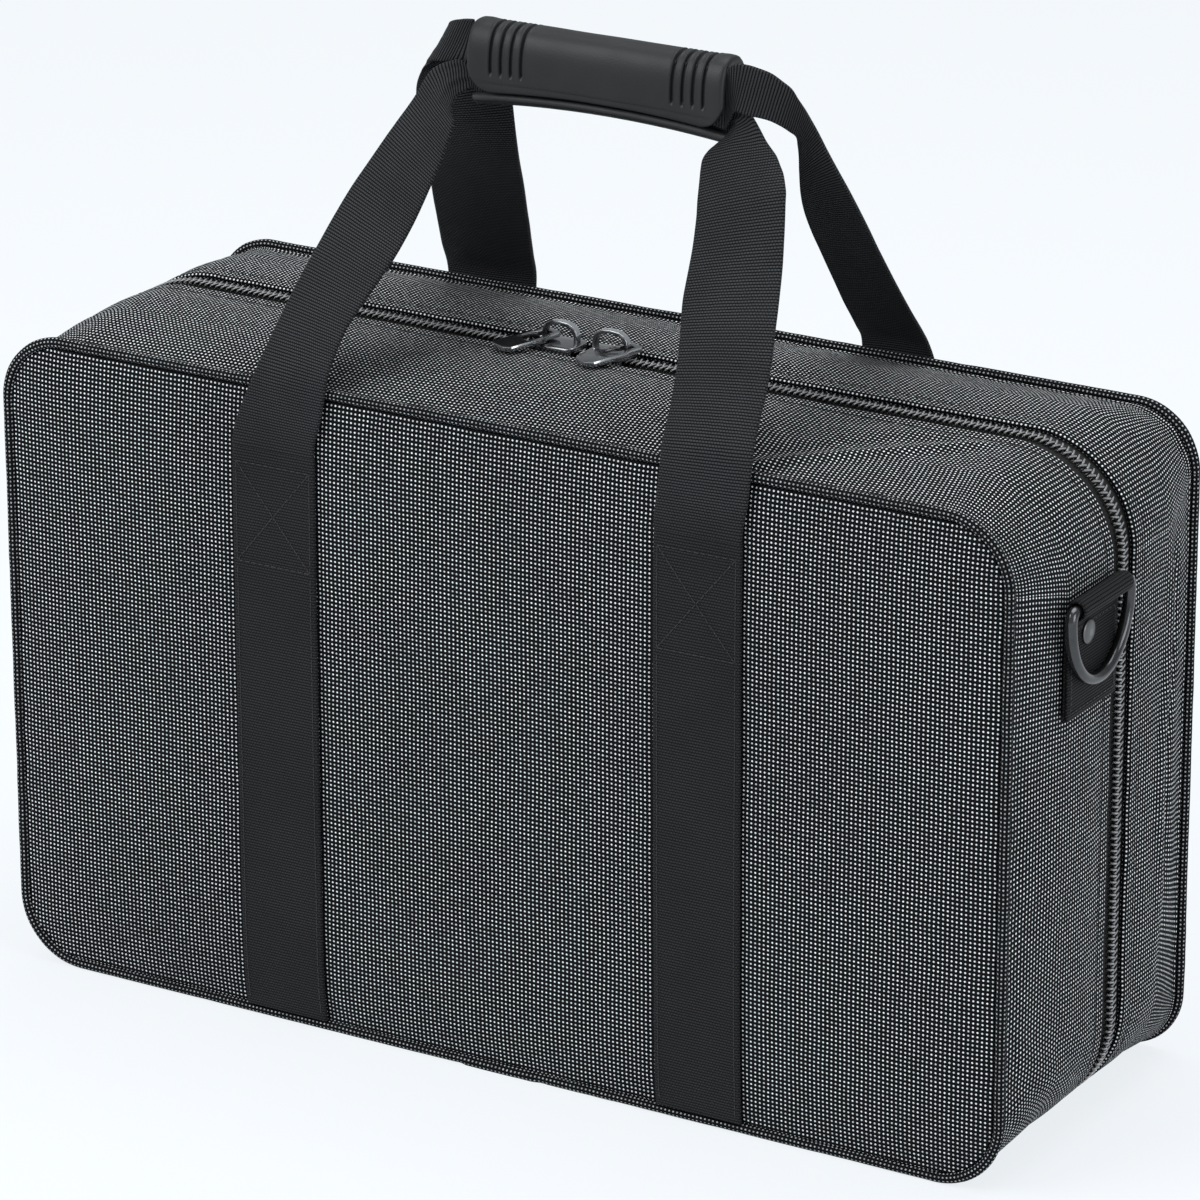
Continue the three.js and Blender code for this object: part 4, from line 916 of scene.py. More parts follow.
def make_pipings():
    sides = 18
    for half in HALVES:
        ring = ring_shape(LENGTH / 2, PIPING_R, TOP_Z, half.corner_r)
        x, z = ring.T
        seed = 50 if half is BASE else 60
        swell = 0.1 * noise(x, 0, z, 6.5, seed) + 0.12 * noise(x, 0, z, 23, seed + 1)
        on_floor = RING_NORMALS[:, 1] < -0.9
        # The two ends of the cover lap under the case, near the middle
        lap = on_floor * (smoothstep(x, -14, -11) * (1 - smoothstep(x, 19, 23)))
        swell = np.where(on_floor, np.minimum(swell, 0), swell) - 0.16 * on_floor * bump(x, -14.5, 1.3)
        swell = swell - 0.16 * on_floor * bump(x, 23.5, 1.3)
        turn = round_angles(sides)
        out, forward = np.cos(turn)[None], np.sin(turn)[None]
        radius = PIPING_R + swell[:, None] + 0.4 * lap[:, None] * (out > -0.2)
        way_out = np.where(on_floor[:, None], np.minimum(radius * out, PIPING_R), radius * out)
        points = np.stack([
            x[:, None] + RING_NORMALS[:, :1] * way_out,
            half.sign * FACE_Y + half.sign * radius * forward,
            z[:, None] + RING_NORMALS[:, 1:] * way_out], -1)
        around = PIPING_R * 2 * math.pi * np.arange(sides + 1) / sides
        places = cloth_grid(ring_length(ring)[:, None], around[None])
        thing = grid_object(f"{half.name}_corded_seam", points, places, close_rows=True)
        finish(thing, PIPING_CLOTH, "piping_cloth", half.body, f"{half.name}_piping")


make_panels()
make_bands()
make_pipings()


# Webbing: the straps sewn up each face and the handle loops, one length of webbing a side
TABLE_STEPS = 6


def smoothed(rows):
    """A smooth line through a table of edge points, at even steps between its rows."""
    points = np.array(rows, float)
    spans = len(points) - 1
    at = np.linspace(0, spans, TABLE_STEPS * spans + 1)
    i = np.clip(at.astype(int), 0, spans - 1)
    t = (at - i)[:, None]
    p0, p1 = points[np.maximum(i - 1, 0)], points[i]
    p2, p3 = points[i + 1], points[np.minimum(i + 2, spans)]
    return 0.5 * (2 * p1 + (p2 - p0) * t + (2 * p0 - 5 * p1 + 4 * p2 - p3) * t ** 2
                  + (3 * p1 - p0 - 3 * p2 + p3) * t ** 3)


def sewn_edges(half, hand, order):
    """The strap's two edges up the face, from the bottom seam to the top of its stitching."""
    rows = []
    for z in [4.8, *np.arange(8, SEWN_TOP_Z - 3, 2.2), SEWN_TOP_Z - 0.4]:
        row = []
        for side in (-order, order):
            x = hand * (STRAP_X + side * WEBBING_W / 2)
            row += [x, half.sign * float(face_out(half, x, z) + GAP + WEBBING_T / 2), z]
        rows.append(row)
    return np.array(rows)


def webbing_strip(name, half, right, left, through, swap):
    """One length of webbing: up the face, over the case, through the grip and down again."""
    rows = np.concatenate([
        sewn_edges(half, 1, 1), smoothed(right), smoothed([right[-1], *through, left[-1]])[1:-1],
        smoothed(left)[::-1], sewn_edges(half, -1, swap)[::-1]])
    lower, upper = rows[:, :3], rows[:, 3:]
    middle = (lower + upper) / 2
    width = np.linalg.norm(upper - lower, axis=1)
    across = (upper - lower) / width[:, None]
    normal = unit(np.cross(across, unit(np.gradient(middle, axis=0))))
    for _ in range(4):
        normal[1:-1] = unit((normal[:-2] + normal[2:] + normal[1:-1]) / 3)
    normal *= half.sign * np.sign(normal[10, 1])

    span = 44
    s = -np.cos(np.linspace(0, math.pi, span)) * 0.15 + np.linspace(-1, 1, span) * 0.85
    tight = np.clip((33 - width) / 22, 0, 1)[:, None]
    half_w = (width / 2)[:, None]
    thick = WEBBING_T * (1 + 0.25 * tight)
    near_edge = np.clip((np.abs(s)[None] * half_w - (half_w - 0.7)) / 0.7, 0, 1)
    shoulder = np.sqrt(1 - 0.75 * near_edge ** 2)
    x, y, z = middle.T
    free = smoothstep(z, SEWN_TOP_Z + 4, SEWN_TOP_Z + 50)[:, None]
    in_grip = np.clip((GRIP_L / 2 + 1 - np.abs(x - GRIP_X)) / 3, 0, 1)[:, None] * (z > 370)[:, None]
    # Folds where the webbing gathers towards the grip, a shallow cup on the free legs
    pleat = 0.8 * np.cos(s[None] * math.pi * 2.2 + 0.6) + 0.35 * np.cos(s[None] * math.pi * 4.1 + 1.9)
    pleat = tight * pleat * (1 - 0.7 * in_grip) * (0.45 if half is BASE else 0.1)
    cup = free * (1 - tight) * 1.3 * (0.35 - s[None] ** 2)
    wave = free * (1 - tight) * 0.6 * noise(x, y, z, 34, 70)[:, None] * s[None]
    sway = 0.2 * noise(x[:, None] + s[None] * 9, y[:, None], z[:, None], 13, 71)
    rise = pleat + cup + (wave + sway * free) * (1 - in_grip)
    columns = []
    for side, order in ((1, slice(None)), (-1, slice(None, None, -1))):
        lift = (rise + side * thick / 2 * shoulder)[:, order]
        columns.append(middle[:, None] + across[:, None] * (s[order][None] * half_w)[..., None]
                       + normal[:, None] * lift[..., None])
    points = np.concatenate(columns, 1)
    across_cloth = np.concatenate([s, s[::-1] + 0.02]) * WEBBING_W / 2
    across_cloth = np.append(across_cloth, across_cloth[0])
    places = cloth_grid(across_cloth[None], lengths_along(middle)[:, None])
    thing = grid_object(name, points, places, caps=True)
    normals_out(thing)
    finish(thing, WEBBING, "webbing", None, f"{half.name}_strap_left", f"{half.name}_strap_right",
           f"{half.name}_handle_webbing")
    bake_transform(thing)


FRONT_THROUGH = ((45, -6, 376.5, 45, -6, 386.3), (5, -6.2, 376, 5, -6.2, 386.3))
REAR_THROUGH = ((48, -9.2, 383, 48, -9.2, 402.6), (28, -9, 387.6, 28, -9, 403.2),
                (8, -6.5, 387.6, 8, -6.5, 403.6), (-15, -5, 387.4, -15, -5, 404))
webbing_strip("front_webbing_loop", BASE, FRONT_RIGHT_EDGES, FRONT_LEFT_EDGES, FRONT_THROUGH, 1)
webbing_strip("rear_webbing_loop", LID, REAR_RIGHT_EDGES, REAR_LEFT_EDGES, REAR_THROUGH, -1)


# The grip: a moulded wrap whose flap closes over its back
GRIP_LIP_DEG, GRIP_SEAM_DEG, FLAP_END_DEG = -122.0, 60.0, 216.0
GROOVE_TOP_DEG, GROOVE_END_DEG = 66.0, 186.0
GROOVE_PITCH, GROOVE_COUNT = 4.6, 4
GROOVE_INSETS = {-1: 11.0, 1: 8.5}
GROOVE_DEPTH = 1.7


def grip_point(degrees, inset, x=None):
    """A place on the grip's section; its underside arches up between its ends."""
    angle = np.radians(degrees)
    c, s = np.cos(angle), np.sin(angle)
    arch = 0.0 if x is None else 3.2 * max(0.0, 1 - ((x - GRIP_X) / 56) ** 2)
    return (GRIP_Y + (GRIP_W / 2 - inset) * np.sign(c) * np.abs(c) ** 0.78,
            GRIP_Z + (GRIP_H / 2 - inset - arch * (s < 0)) * np.sign(s) * np.abs(s) ** 0.78)


def rolled(distance, radius):
    """How far an edge has rolled over at a distance from it."""
    part = np.clip(1 - distance / radius, 0, 1)
    return radius * (1 - np.sqrt(np.clip(1 - part ** 2, 0, 1)))


def grip_shell(name, stations, start_deg, end_deg, groove, steps=72):
    """A wall bent round the grip, one row for each station, its edges rolled over."""
    rows = []
    spread = 0.5 - 0.5 * np.cos(np.linspace(0, math.pi, steps))
    share = np.linspace(0, 1, steps) * 0.72 + spread * 0.28
    for x in stations:
        ends = start_deg(x), end_deg(x)
        degrees = lerp(ends[0], ends[1], share)
        along_arc = share * math.radians(ends[1] - ends[0]) * GRIP_H / 2.4
        from_edge = np.minimum(along_arc, along_arc[-1] - along_arc)
        from_end = GRIP_L / 2 - abs(x - GRIP_X)
        roll = np.maximum(rolled(from_edge, GRIP_ROLL), rolled(from_end, GRIP_ROLL))
        outer = roll + groove(x, degrees)
        inner = GRIP_WALL - np.minimum(roll, GRIP_ROLL)
        outer = np.minimum(outer, inner - 0.1)
        y0, z0 = grip_point(degrees, outer, x)
        y1, z1 = grip_point(degrees[::-1], inner[::-1], x)
        rows.append(np.stack([np.full(2 * steps, x), np.append(y0, y1), np.append(z0, z1)], -1))
    return grid_object(name, np.stack(rows), caps=True)


def grip_stations():
    ends = np.array([0.02, 0.25, 0.6, 1.0, 1.55, 2.4, 3.6, 4.8, 6.0])
    fine = np.arange(6.9, 28.5, 0.28)
    side = np.concatenate([ends, fine])
    right = GRIP_X + GRIP_L / 2 - side
    left = GRIP_X - GRIP_L / 2 + side
    middle = np.arange(left[-1] + 1.5, right[-1] - 1, 1.5)
    return np.concatenate([left, middle, right[::-1]])


LOW_TABLE = np.linspace(150, FLAP_END_DEG, 200)
LOW_HEIGHTS = grip_point(LOW_TABLE, 0.0)[1]


def flap_end(x):
    """The angle at which the flap ends: its lower corners are round and its edge bows up."""
    aside = abs(x - GRIP_X)
    from_end = GRIP_L / 2 - aside
    low = LOW_HEIGHTS[-1]
    if from_end < GRIP_CORNER_R:
        low += GRIP_CORNER_R - math.sqrt(max(0, GRIP_CORNER_R ** 2 - (GRIP_CORNER_R - from_end) ** 2))
    low += 1.2 * max(0, 1 - (aside / 47) ** 2)
    return float(np.interp(-low, -LOW_HEIGHTS, LOW_TABLE))


def flap_relief(x, degrees):
    aside = abs(x - GRIP_X)
    inset = np.zeros_like(degrees)
    for i in range(GROOVE_COUNT):
        at = GRIP_L / 2 - GROOVE_INSETS[-1 if x < GRIP_X else 1] - i * GROOVE_PITCH
        off = abs(aside - at)
        cut = GROOVE_DEPTH * float(1 - smoothstep(off, 0.45, 0.95))
        rim = 0.12 * float(bump(off, 1.3, 0.4))
        on = smoothstep(degrees, GROOVE_TOP_DEG, GROOVE_TOP_DEG + 3)
        on = on * (1 - smoothstep(degrees, GROOVE_END_DEG - 3, GROOVE_END_DEG))
        inset = inset + (cut - rim) * on
    # A raised welt beside the ends and a faint line where the flap turns under
    inset = inset - 0.35 * float(bump(aside, GRIP_L / 2 - 4.0, 3.2))
    inset = inset + 0.25 * bump(degrees, 197, 2.2)
    return inset - 0.1 * noise(x, degrees * 0.3, 0, 16, 90)


def make_grip():
    stations = grip_stations()
    seam = GRIP_SEAM_DEG + math.degrees(GAP / (GRIP_H / 2))
    flap = grip_shell("grip_flap_rubber", stations, lambda x: seam, flap_end, flap_relief)
    finish(flap, RUBBER, "grip_rubber", "grip_flap", "grip_flap")
    coarse = stations[(np.abs(np.abs(stations - GRIP_X) - GRIP_L / 2) < 12)
                      | (np.arange(len(stations)) % 6 == 0)]

    def lip(x):
        aside = abs(x - GRIP_X)
        bow = 4.0 * max(0, 1 - (aside / 50) ** 2)
        return GRIP_LIP_DEG - 12 - bow + 7 * float(smoothstep(aside, 45, 57))

    back = grip_shell("grip_back_rubber", coarse, lip, lambda x: GRIP_SEAM_DEG,
                      lambda x, degrees: 0.0 * degrees, 90)
    finish(back, RUBBER, "grip_rubber", "rear_handle", "grip_back")


make_grip()


# The zip: tapes under the hems, and coils of bent filament whose heads pass each other
ZIP_HALF = LENGTH / 2 + BULGE
ZIP_FLAT = ZIP_HALF - ZIP_CORNER_R
COIL_PITCH = 2.6


def zip_line(length):
    """Place, way out and way along of the zip's line at lengths run along it."""
    turn = math.pi / 2 * ZIP_CORNER_R
    tail = ZIP_FLAT - ZIP_END_X
    rise = ZIP_TOP_Z - 2 * ZIP_CORNER_R
    legs = ((tail, 0), (turn, 1), (rise, 0), (turn, 1), (2 * ZIP_FLAT, 0), (turn, 1), (rise, 0),
            (turn, 1), (tail, 0))
    length = np.asarray(length, float)
    x = np.full_like(length, -ZIP_END_X)
    z = np.zeros_like(length)
    heading = np.full_like(length, math.pi)
    left = length.copy()
    for span, turning in legs:
        run = np.clip(left, 0, span)
        if turning:
            x += ZIP_CORNER_R * np.sin(heading)
            z -= ZIP_CORNER_R * np.cos(heading)
            heading = heading - run / ZIP_CORNER_R
            x -= ZIP_CORNER_R * np.sin(heading)
            z += ZIP_CORNER_R * np.cos(heading)
        else:
            x += run * np.cos(heading)
            z += run * np.sin(heading)
        left = left - run
    return (np.stack([x, z], -1), np.stack([-np.sin(heading), np.cos(heading)], -1),
            np.stack([np.cos(heading), np.sin(heading)], -1))


ZIP_LENGTH = (2 * (ZIP_FLAT - ZIP_END_X) + 4 * math.pi / 2 * ZIP_CORNER_R
              + 2 * (ZIP_TOP_Z - 2 * ZIP_CORNER_R) + 2 * ZIP_FLAT)


def make_zip():
    count = round(ZIP_LENGTH / COIL_PITCH)
    pitch = ZIP_LENGTH / count
    # One loop of a coil: along the zip, across towards its own tape, and out of the case
    path = [(-1.05, 3.35, -2.0), (-1.05, 3.4, -1.1), (-0.8, 2.9, -0.62), (-0.45, 1.9, -0.52),
            (-0.05, 0.8, -0.5), (0.28, -0.25, -0.55), (0.42, -0.85, -1.0), (0.42, -0.8, -1.55),
            (0.3, 0.2, -2.0), (0.15, 2.2, -2.15)]
    radii = [0.3, 0.44, 0.5, 0.5, 0.5, 0.56, 0.6, 0.5, 0.42, 0.25]
    template, quads = tube_template(path, radii, 7)
    for half in HALVES:
        lead = 0.25 * pitch if half is BASE else 0.75 * pitch
        at = np.arange(count) * pitch + lead
        at = at[(at > 1.2) & (at < ZIP_LENGTH - 1.2)]
        at = at + 0.12 * noise(at, 0, 0, 9, 100)
        place, out, ahead = zip_line(at)
        toward_tape = np.tile([0.0, half.sign, 0.0], (len(at), 1))
        origins = at_depth(place, ZIP_Y)
        axes = np.stack([at_depth(ahead, 0.0), toward_tape, at_depth(out, 0.0)], 1)
        coil = many(f"{half.name}_coil_loops", template, quads, origins, axes)
        normals_out(coil)
        finish(coil, COIL, "zip_nylon", half.body, f"{half.name}_zip_coil")

        # Woven tape with the coil's cord along its inner edge: distances across and under
        across = (0.15, 0.15, 0.5, 1.5, 2.6, 3.2, 3.8, 4.6, 5.4, 6.5, 8.0, 9.6, 11.0, 11.3, 11.3, 6.0, 0.15)
        under = (3.6, 3.1, 2.85, 2.75, 2.72, 2.5, 2.5, 2.78, 2.9, 2.95, 2.95, 2.95, 2.95, 3.1, 3.9, 3.9, 3.9)
        points = [at_depth(band_ring(half, 1 - d / half.depth, 0.0) - RING_NORMALS * u, ZIP_Y + half.sign * d)
                  for d, u in zip(across, under)]
        run = lengths_along(np.stack([across, under], -1))
        places = cloth_grid(run[:, None], ring_length(band_ring(half, 1.0, 0.0))[None])
        places = np.concatenate([places, places[:1]], 0)
        tape = grid_object(f"{half.name}_tape_cloth", np.stack(points), places, close_rows=True)
        finish(tape, TAPE, "zip_tape", half.body, f"{half.name}_zip_tape")


make_zip()


def make_hinge():
    """One doubled strip of cloth under the case, along the lid's hinge."""
    width, edge = ZIP_SLOT_W - 2 * GAP, 0.9
    x = np.linspace(-ZIP_END_X + GAP, ZIP_END_X - GAP, 150)
    t = np.linspace(-1, 1, 41)
    y = ZIP_Y + t * width / 2
    roll = rolled((1 - np.abs(t)) * width / 2, edge)
    low = 0.12 + roll + 0.25 * bump(np.abs(t), 0.8, 0.05)
    high = HEM_T - roll - 0.3 * bump(t, 0, 0.2)
    ys = np.concatenate([y, y[::-1]])
    rows = []
    for place in x:
        end = float(rolled(ZIP_END_X - GAP - abs(place), edge))
        wave = 0.1 * noise(place, y, 0, 14, 120)
        bottom = np.clip(low + wave + end, 0.03, 1.2)
        top = np.maximum(high - end, bottom + 0.2)
        zs = np.concatenate([bottom, top[::-1]])
        rows.append(np.stack([np.full(len(ys), place), ys, zs], -1))
    around = np.concatenate([t, 2 - t, [3.0]]) * width / 2
    places = cloth_grid(around[None], x[:, None])
    strip = grid_object("hinge_cloth", np.stack(rows), places, caps=True)
    finish(strip, TAPE, "zip_tape", None, "front_hinge_strip", "rear_hinge_strip")
    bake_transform(strip)


make_hinge()


# D-rings in folded tabs, with rivets
TAB_FACE_X = LENGTH / 2 + BULGE * max(row[1] for row in BAND_SHARES) + GAP
RING_X = TAB_FACE_X + TAB_T + RING_R + GAP


def mirrored(points, hand):
    out = np.array(points, float)
    out[..., 0] *= hand
    return out


def make_ring(side, hand):
    bar, bend = RING_BAR_HALF, RING_BEND_R
    bow = bar + bend
    middle = [(y, 0.0) for y in np.linspace(-bar, bar, 26)[:-1]]
    middle += [(bar + bend * math.cos(a), bend * (math.sin(a) - 1)) for a in np.linspace(math.pi / 2, 0, 9)]
    middle += [(bow * math.cos(a), -bend - (RING_DROP - bend) * math.sin(a))
               for a in np.linspace(0, math.pi, 66)[1:-1]]
    middle += [(-bar - bend * math.cos(a), bend * (math.sin(a) - 1))
               for a in np.linspace(0, math.pi / 2, 9)[:-1]]
    line = np.array(middle)
    ahead = unit(np.roll(line, -1, 0) - np.roll(line, 1, 0))
    out = np.stack([ahead[:, 1], -ahead[:, 0]], -1)
    turn = round_angles(20)
    wire = RING_R * (1 + 0.006 * noise(line[:, 0], line[:, 1], 0, 5, 130))[:, None]
    points = np.stack([
        RING_X + wire * np.sin(turn)[None] + 0 * line[:, :1],
        TAB_Y + line[:, :1] + out[:, :1] * wire * np.cos(turn)[None],
        TAB_BAR_Z + line[:, 1:] + out[:, 1:] * wire * np.cos(turn)[None]], -1)
    ring = grid_object(f"d_ring_{side}_wire", mirrored(points, hand), close_rows=True)
    finish(ring, METAL, "hardware", f"d_ring_{side}", f"d_ring_{side}")


def make_tab(side, hand):
    thick = 1.15
    radius = 2.9 + thick / 2
    inner_x, outer_x = TAB_FACE_X + 0.6, TAB_FACE_X + 1.82
    foot = TAB_BAR_Z - TAB_H + 0.3
    path = [(inner_x, z) for z in np.linspace(foot, TAB_BAR_Z - 12, 22)]
    path += [(inner_x - 0.05, TAB_BAR_Z - 8), (inner_x + 0.1, TAB_BAR_Z - 4.4)]
    path += [(RING_X + radius * math.cos(a), TAB_BAR_Z + radius * math.sin(a))
             for a in np.radians(np.linspace(172, -82, 22))]
    path += [(outer_x + 0.75, TAB_BAR_Z - 5.6), (outer_x + 0.15, TAB_BAR_Z - 8.2)]
    path += [(outer_x, z) for z in np.linspace(TAB_BAR_Z - 12, foot, 22)]
    path = np.array(path)
    ahead = unit(np.gradient(path, axis=0))
    out = np.stack([-ahead[:, 1], ahead[:, 0]], -1)
    t = np.linspace(-1, 1, 30)
    near = np.clip((np.abs(t) * TAB_W / 2 - (TAB_W / 2 - 0.5)) / 0.5, 0, 1)
    shoulder = np.sqrt(1 - 0.7 * near ** 2) * thick / 2
    rows = []
    for (x, z), (ox, oz) in zip(path, out):
        wave = 0.07 * noise(t * 20, z, x, 6, 140)
        layers = []
        for sign, order in ((1, slice(None)), (-1, slice(None, None, -1))):
            lift = (wave + sign * shoulder)[order]
            layers.append(np.stack([x + ox * lift, TAB_Y + t[order] * TAB_W / 2, z + oz * lift], -1))
        rows.append(np.concatenate(layers))
    across = np.concatenate([t, t[::-1], t[:1]]) * TAB_W / 2
    places = cloth_grid(across[None], lengths_along(path)[:, None])
    tab = grid_object(f"tab_{side}_webbing", mirrored(np.stack(rows), hand), places, caps=True)
    normals_out(tab)
    finish(tab, TAB_WEBBING, "webbing", "base", f"d_ring_tab_{side}")


def make_rivet(side, hand):
    base = TAB_FACE_X + TAB_T
    # Radius and height over the tab, from the shank's foot to the middle of the head
    profile = ((0.0, -1.5), (1.8, -1.5), (1.8, 0.28), (4.3, 0.28), (4.72, 0.4), (4.8, 0.62), (4.68, 0.9),
               (4.2, 1.15), (3.4, 1.4), (2.6, 1.55), (1.7, 1.65), (0.8, 1.7), (0.001, 1.71))
    turn = round_angles(40)
    rows = [np.stack([np.full(40, base + rise), RIVET_Y + r * np.cos(turn), RIVET_Z + r * np.sin(turn)], -1)
            for r, rise in profile]
    rivet = grid_object(f"rivet_{side}_cap", mirrored(np.stack(rows), hand))
    normals_out(rivet)
    finish(rivet, RIVET_METAL, "hardware", "base", f"d_ring_rivet_{side}")


for side, hand in (("right", 1), ("left", -1)):
    make_ring(side, hand)
    make_tab(side, hand)
    make_rivet(side, hand)


# Sliders and pulls: the solids' own shapes with their edges eased
def welded_copy(node, name):
    """A copy of a solid, set to join its doubled points."""
    thing = new_object(name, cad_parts[node].data.copy())
    merge = thing.modifiers.new("merge", "WELD")
    merge.merge_threshold = 0.02 * MM
    return thing


def eased_copy(node, name, width):
    thing = welded_copy(node, name)
    bevel = thing.modifiers.new("ease", "BEVEL")
    bevel.width = width * MM
    bevel.segments = 3
    bevel.limit_method = "ANGLE"
    bevel.angle_limit = math.radians(38)
    bevel.harden_normals = False
    return applied(thing)


def applied(thing):
    """The same piece with its modifiers worked into its mesh."""
    view = bpy.context.evaluated_depsgraph_get()
    mesh = bpy.data.meshes.new_from_object(thing.evaluated_get(view))
    old = thing.data
    thing.modifiers.clear()
    thing.data = mesh
    bpy.data.meshes.remove(old)
    for polygon in mesh.polygons:
        polygon.use_smooth = True
    return thing


for side in ("left", "right"):
    for kind, part, width in (("slider", "body", 0.35), ("pull", "plate", 0.45)):
        node = f"{kind}_{side}"
        piece = eased_copy(node, f"{node}_{part}", width)
        piece.data.set_sharp_from_angle(angle=math.radians(42))
        finish(piece, PULL_METAL, "hardware", node, node)


# The inside: fitted block, lining and foam, with soft edges and an uneven skin
def soft_copy(node, name, voxel, smooth_steps, swell, seed, sunk=None):
    thing = welded_copy(node, name)
    remesh = thing.modifiers.new("skin", "REMESH")
    remesh.mode = "VOXEL"
    remesh.voxel_size = voxel * MM
    remesh.use_smooth_shade = True
    smooth = thing.modifiers.new("soften", "SMOOTH")
    smooth.factor = 0.5
    smooth.iterations = smooth_steps
    applied(thing)
    mesh = thing.data
    place, normal = (np.empty(3 * len(mesh.vertices)) for _ in range(2))
    mesh.vertices.foreach_get("co", place)
    mesh.vertices.foreach_get("normal", normal)
    place, normal = place.reshape(-1, 3), normal.reshape(-1, 3)
    x, y, z = (place / MM).T
    push = swell * (noise(x, y, z, 42, seed) * 0.7 + noise(x, y, z, 13, seed + 1) * 0.3) - swell
    if sunk:
        push = push - sunk(x, z)
    place = place + normal * (push * MM)[:, None]
    mesh.vertices.foreach_set("co", place.ravel())
    mesh.update()
    return thing


def sunk_top(x, z):
    """How far the base's foam lies back under the slack cloth of its top."""
    return 1.1 * smoothstep(z, TOP_Z - 5, TOP_Z - 1) * smoothstep(x, 82, 108) * (1 - smoothstep(x, 182, 216))


def sunk_end(x, z):
    """How far the lid's foam lies back under the slack cloth of its right end."""
    end = smoothstep(x, LENGTH / 2 - 6, LENGTH / 2 - 2)
    return 1.4 * end * smoothstep(z, 10, 50) * (1 - smoothstep(z, 235, 255))


insert = soft_copy("base_insert", "fitted_plush_block", 2.6, 7, 0.35, 150)
finish(insert, PLUSH, "plush", "base", "base_insert")
lining = soft_copy("lid_lining", "lid_padding", 2.6, 9, 0.5, 160)
finish(lining, LINING, "plush", "lid", "lid_lining")
for body, sunk in (("base", sunk_top), ("lid", sunk_end)):
    node = f"{body}_foam_shell"
    shell = soft_copy(node, f"{body}_foam_wall", 2.4, 2, 0.12, 170, sunk)
    finish(shell, FOAM, "foam", body, node)


# Thread: each stitch is a short twist of thread that dips into the cloth at its ends
def stitches(name, body, runs, thread_r=0.22):
    """Runs are lists of (start, end, way out) of single stitches, in millimetres."""
    starts, ends, outs = (np.array(part, float) for part in zip(*runs))
    outs = unit(outs)
    length = np.linalg.norm(ends - starts, axis=1)[:, None]
    ahead = (ends - starts) / length
    t = np.linspace(-0.5, 0.5, 7)
    path = [(a, 0.0, 0.34 * (1 - (2 * a) ** 4) - 0.22) for a in t]
    template, quads = tube_template(path, thread_r * np.array([0.5, 0.9, 1, 1, 1, 0.9, 0.5]), 6)
    # The template is one long, so its first axis brings each stitch to its length
    axes = np.stack([ahead * length, np.cross(outs, ahead), outs], 1)
    thing = many(name, template, quads, (starts + ends) / 2, axes)
    normals_out(thing)
    finish(thing, THREAD, "webbing", body)


STITCH_PITCH, STITCH_GAP = 3.0, 0.6


def face_run(half, start, end):
    """Stitches on a strap, along a straight line given in x and z."""
    start, end = np.array(start, float), np.array(end, float)
    count = max(1, round(np.linalg.norm(end - start) / STITCH_PITCH))
    gap = STITCH_GAP / STITCH_PITCH / 2
    lift = GAP + WEBBING_T + 0.05
    out = []
    for i in range(count):
        ends = (start + (end - start) * share / count for share in (i + gap, i + 1 - gap))
        a, b = ((x, half.sign * (float(face_out(half, x, z)) + lift), z) for x, z in ends)
        out.append((a, b, (0, half.sign, 0)))
    return out


def make_stitches():
    for half in HALVES:
        runs = []
        for hand in (-1, 1):
            x0, x1 = hand * STRAP_X - 17.0, hand * STRAP_X + 17.0
            low, high = 195.5, SEWN_TOP_Z - 6.5
            corners = [(x0, low), (x1, low), (x1, high), (x0, high)]
            for a, b in zip(corners, corners[1:] + corners[:1]):
                runs += face_run(half, a, b)
            runs += face_run(half, corners[0], corners[2])
            runs += face_run(half, corners[1], corners[3])
            for x in (x0, x1):
                runs += face_run(half, (x, 8.0), (x, low - 2.5))
        stitches(f"{half.name}_strap_thread", half.body, runs)

        # Along the hem, and round the tabs on the base
        away = half.stop - HEM_W + HEM_SEAM
        ring = band_ring(half, away / half.depth, 0.0)
        ring = ring + RING_NORMALS * (band_unevenness(half, ring, away)[:, None] + 0.1)
        closed = np.concatenate([ring, ring[:1]])
        run = ring_length(ring)
        normals = np.concatenate([RING_NORMALS, RING_NORMALS[:1]])
        y = half.sign * (FACE_Y - away)
        count = round(run[-1] / 3.1)
        hem = []
        for i in range(count):
            a, b = (i + 0.1) * run[-1] / count, (i + 0.9) * run[-1] / count
            pa, pb = ((np.interp(at, run, closed[:, 0]), y, np.interp(at, run, closed[:, 1]))
                      for at in (a, b))
            n = (np.interp(a, run, normals[:, 0]), 0.0, np.interp(a, run, normals[:, 1]))
            if n[2] > -0.6:
                hem.append((pa, pb, n))
        stitches(f"{half.name}_hem_thread", half.body, hem, 0.16)

    tabs = []
    for hand in (-1, 1):
        x = hand * (TAB_FACE_X + 2.42)
        y0, y1 = TAB_Y - TAB_W / 2 + 2.5, TAB_Y + TAB_W / 2 - 2.5
        z0, z1 = TAB_BAR_Z - TAB_H + 3, TAB_BAR_Z - 9.5
        corners = [(y0, z0), (y1, z0), (y1, z1), (y0, z1)]
        for a, b in zip(corners, corners[1:] + corners[:1]):
            a, b = np.array(a), np.array(b)
            count = round(np.linalg.norm(b - a) / 2.8)
            for i in range(count):
                p, q = a + (b - a) * (i + 0.12) / count, a + (b - a) * (i + 0.88) / count
                tabs.append(((x, *p), (x, *q), (hand, 0, 0)))
    stitches("tab_thread", "base", tabs, 0.2)


make_stitches()


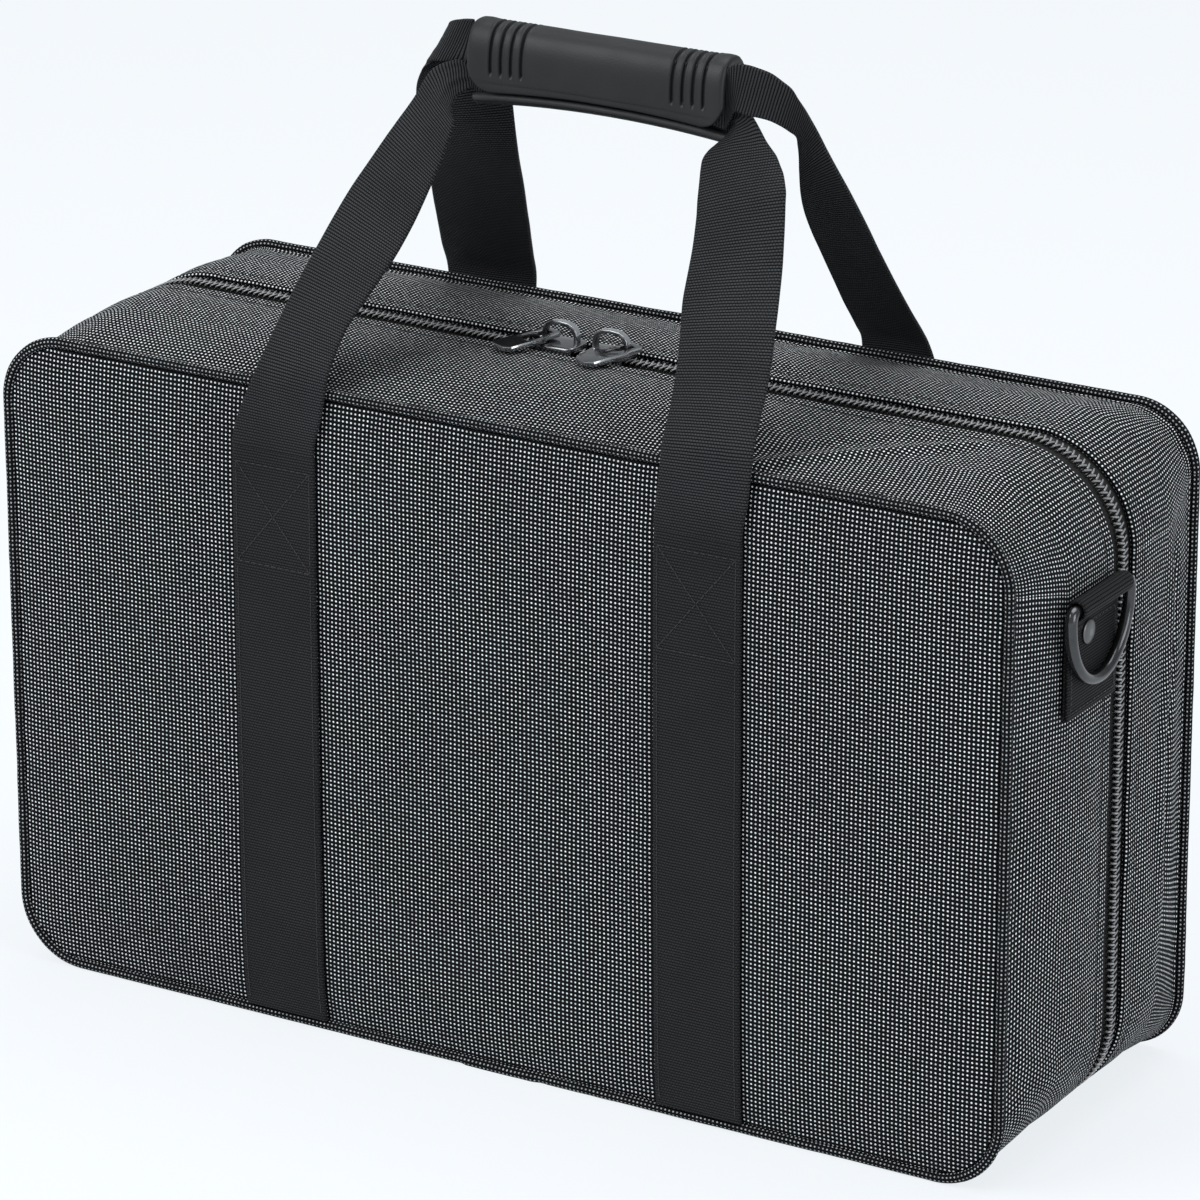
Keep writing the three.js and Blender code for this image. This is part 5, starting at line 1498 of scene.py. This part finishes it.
# Floor, light and camera
def make_floor():
    n = Nodes("studio_floor")
    ray = n.add("ShaderNodeLightPath")
    glow = n.add("ShaderNodeEmission")
    glow.inputs["Color"].default_value = (0.918, 0.955, 0.985, 1.0)
    glow.inputs["Strength"].default_value = 1.0
    mix = n.add("ShaderNodeMixShader")
    seen = n.math("MAXIMUM", ray.outputs["Is Camera Ray"], ray.outputs["Is Glossy Ray"])
    seen = n.math("MAXIMUM", seen, ray.outputs["Is Transmission Ray"])
    n.join(n.times(seen, 0.84), mix.inputs[0])
    n.set(Base_Color=(0.86, 0.885, 0.92), Specular_IOR_Level=0.0)
    patch = n.cloud(n.space(), 3, 2)
    n.set(Roughness=n.step(patch, 0.3, 0.7, 0.9, 0.98))
    n.join(n.shader.outputs[0], mix.inputs[1])
    n.join(glow.outputs[0], mix.inputs[2])
    n.join(mix.outputs[0], n.output.inputs["Surface"])
    size = 6000.0
    corners = np.array([(-size, -size, 0), (size, -size, 0), (size, size, 0), (-size, size, 0)])
    floor = add_mesh("floor", corners, np.array([[0, 1, 2, 3]]))
    floor.data.materials.append(n.material)


def area_light(name, place, aim, size, power, colour=(1, 1, 1)):
    data = bpy.data.lights.new(name, "AREA")
    data.shape = "RECTANGLE"
    data.size, data.size_y = size
    data.energy = power
    data.color = colour
    lamp = new_object(name, data)
    lamp.location = place
    lamp.rotation_mode = "QUATERNION"
    lamp.rotation_quaternion = (Vector(aim) - Vector(place)).to_track_quat("-Z", "Y")


def make_light():
    world = bpy.data.worlds.new("studio")
    bpy.context.scene.world = world
    world.use_nodes = True
    tree = world.node_tree
    tree.nodes.clear()
    output = tree.nodes.new("ShaderNodeOutputWorld")
    around, seen = (tree.nodes.new("ShaderNodeBackground") for _ in range(2))
    around.inputs["Color"].default_value = (0.93, 0.965, 1.0, 1.0)
    around.inputs["Strength"].default_value = 0.5
    seen.inputs["Color"].default_value = (0.92, 0.955, 0.98, 1.0)
    seen.inputs["Strength"].default_value = 1.0
    ray = tree.nodes.new("ShaderNodeLightPath")
    mix = tree.nodes.new("ShaderNodeMixShader")
    tree.links.new(ray.outputs["Is Camera Ray"], mix.inputs[0])
    tree.links.new(around.outputs[0], mix.inputs[1])
    tree.links.new(seen.outputs[0], mix.inputs[2])
    tree.links.new(mix.outputs[0], output.inputs[0])
    area_light("key", (-1.1, -1.7, 1.9), (0.0, 0.0, 0.15), (1.5, 1.5), 42)
    area_light("top", (0.1, 0.3, 2.1), (0.0, 0.0, 0.2), (1.8, 1.4), 26)
    area_light("right", (2.1, -0.4, 0.9), (0.1, 0.0, 0.15), (1.0, 1.4), 16)


def make_camera():
    data = bpy.data.cameras.new("camera")
    data.sensor_width = 36
    data.lens = 192.78
    data.clip_end = 100
    camera = new_object("camera", data)
    place = Vector((1.2344, -2.0368, 1.0527))
    target = Vector((0.0027, 0.00243, 0.17355))
    camera.location = place
    camera.rotation_euler = (target - place).to_track_quat("-Z", "Y").to_euler()
    camera.rotation_euler.rotate_axis("Z", math.radians(-0.153))
    bpy.context.scene.camera = camera


make_floor()
make_light()
make_camera()

bpy.context.scene.view_settings.view_transform = "Standard"
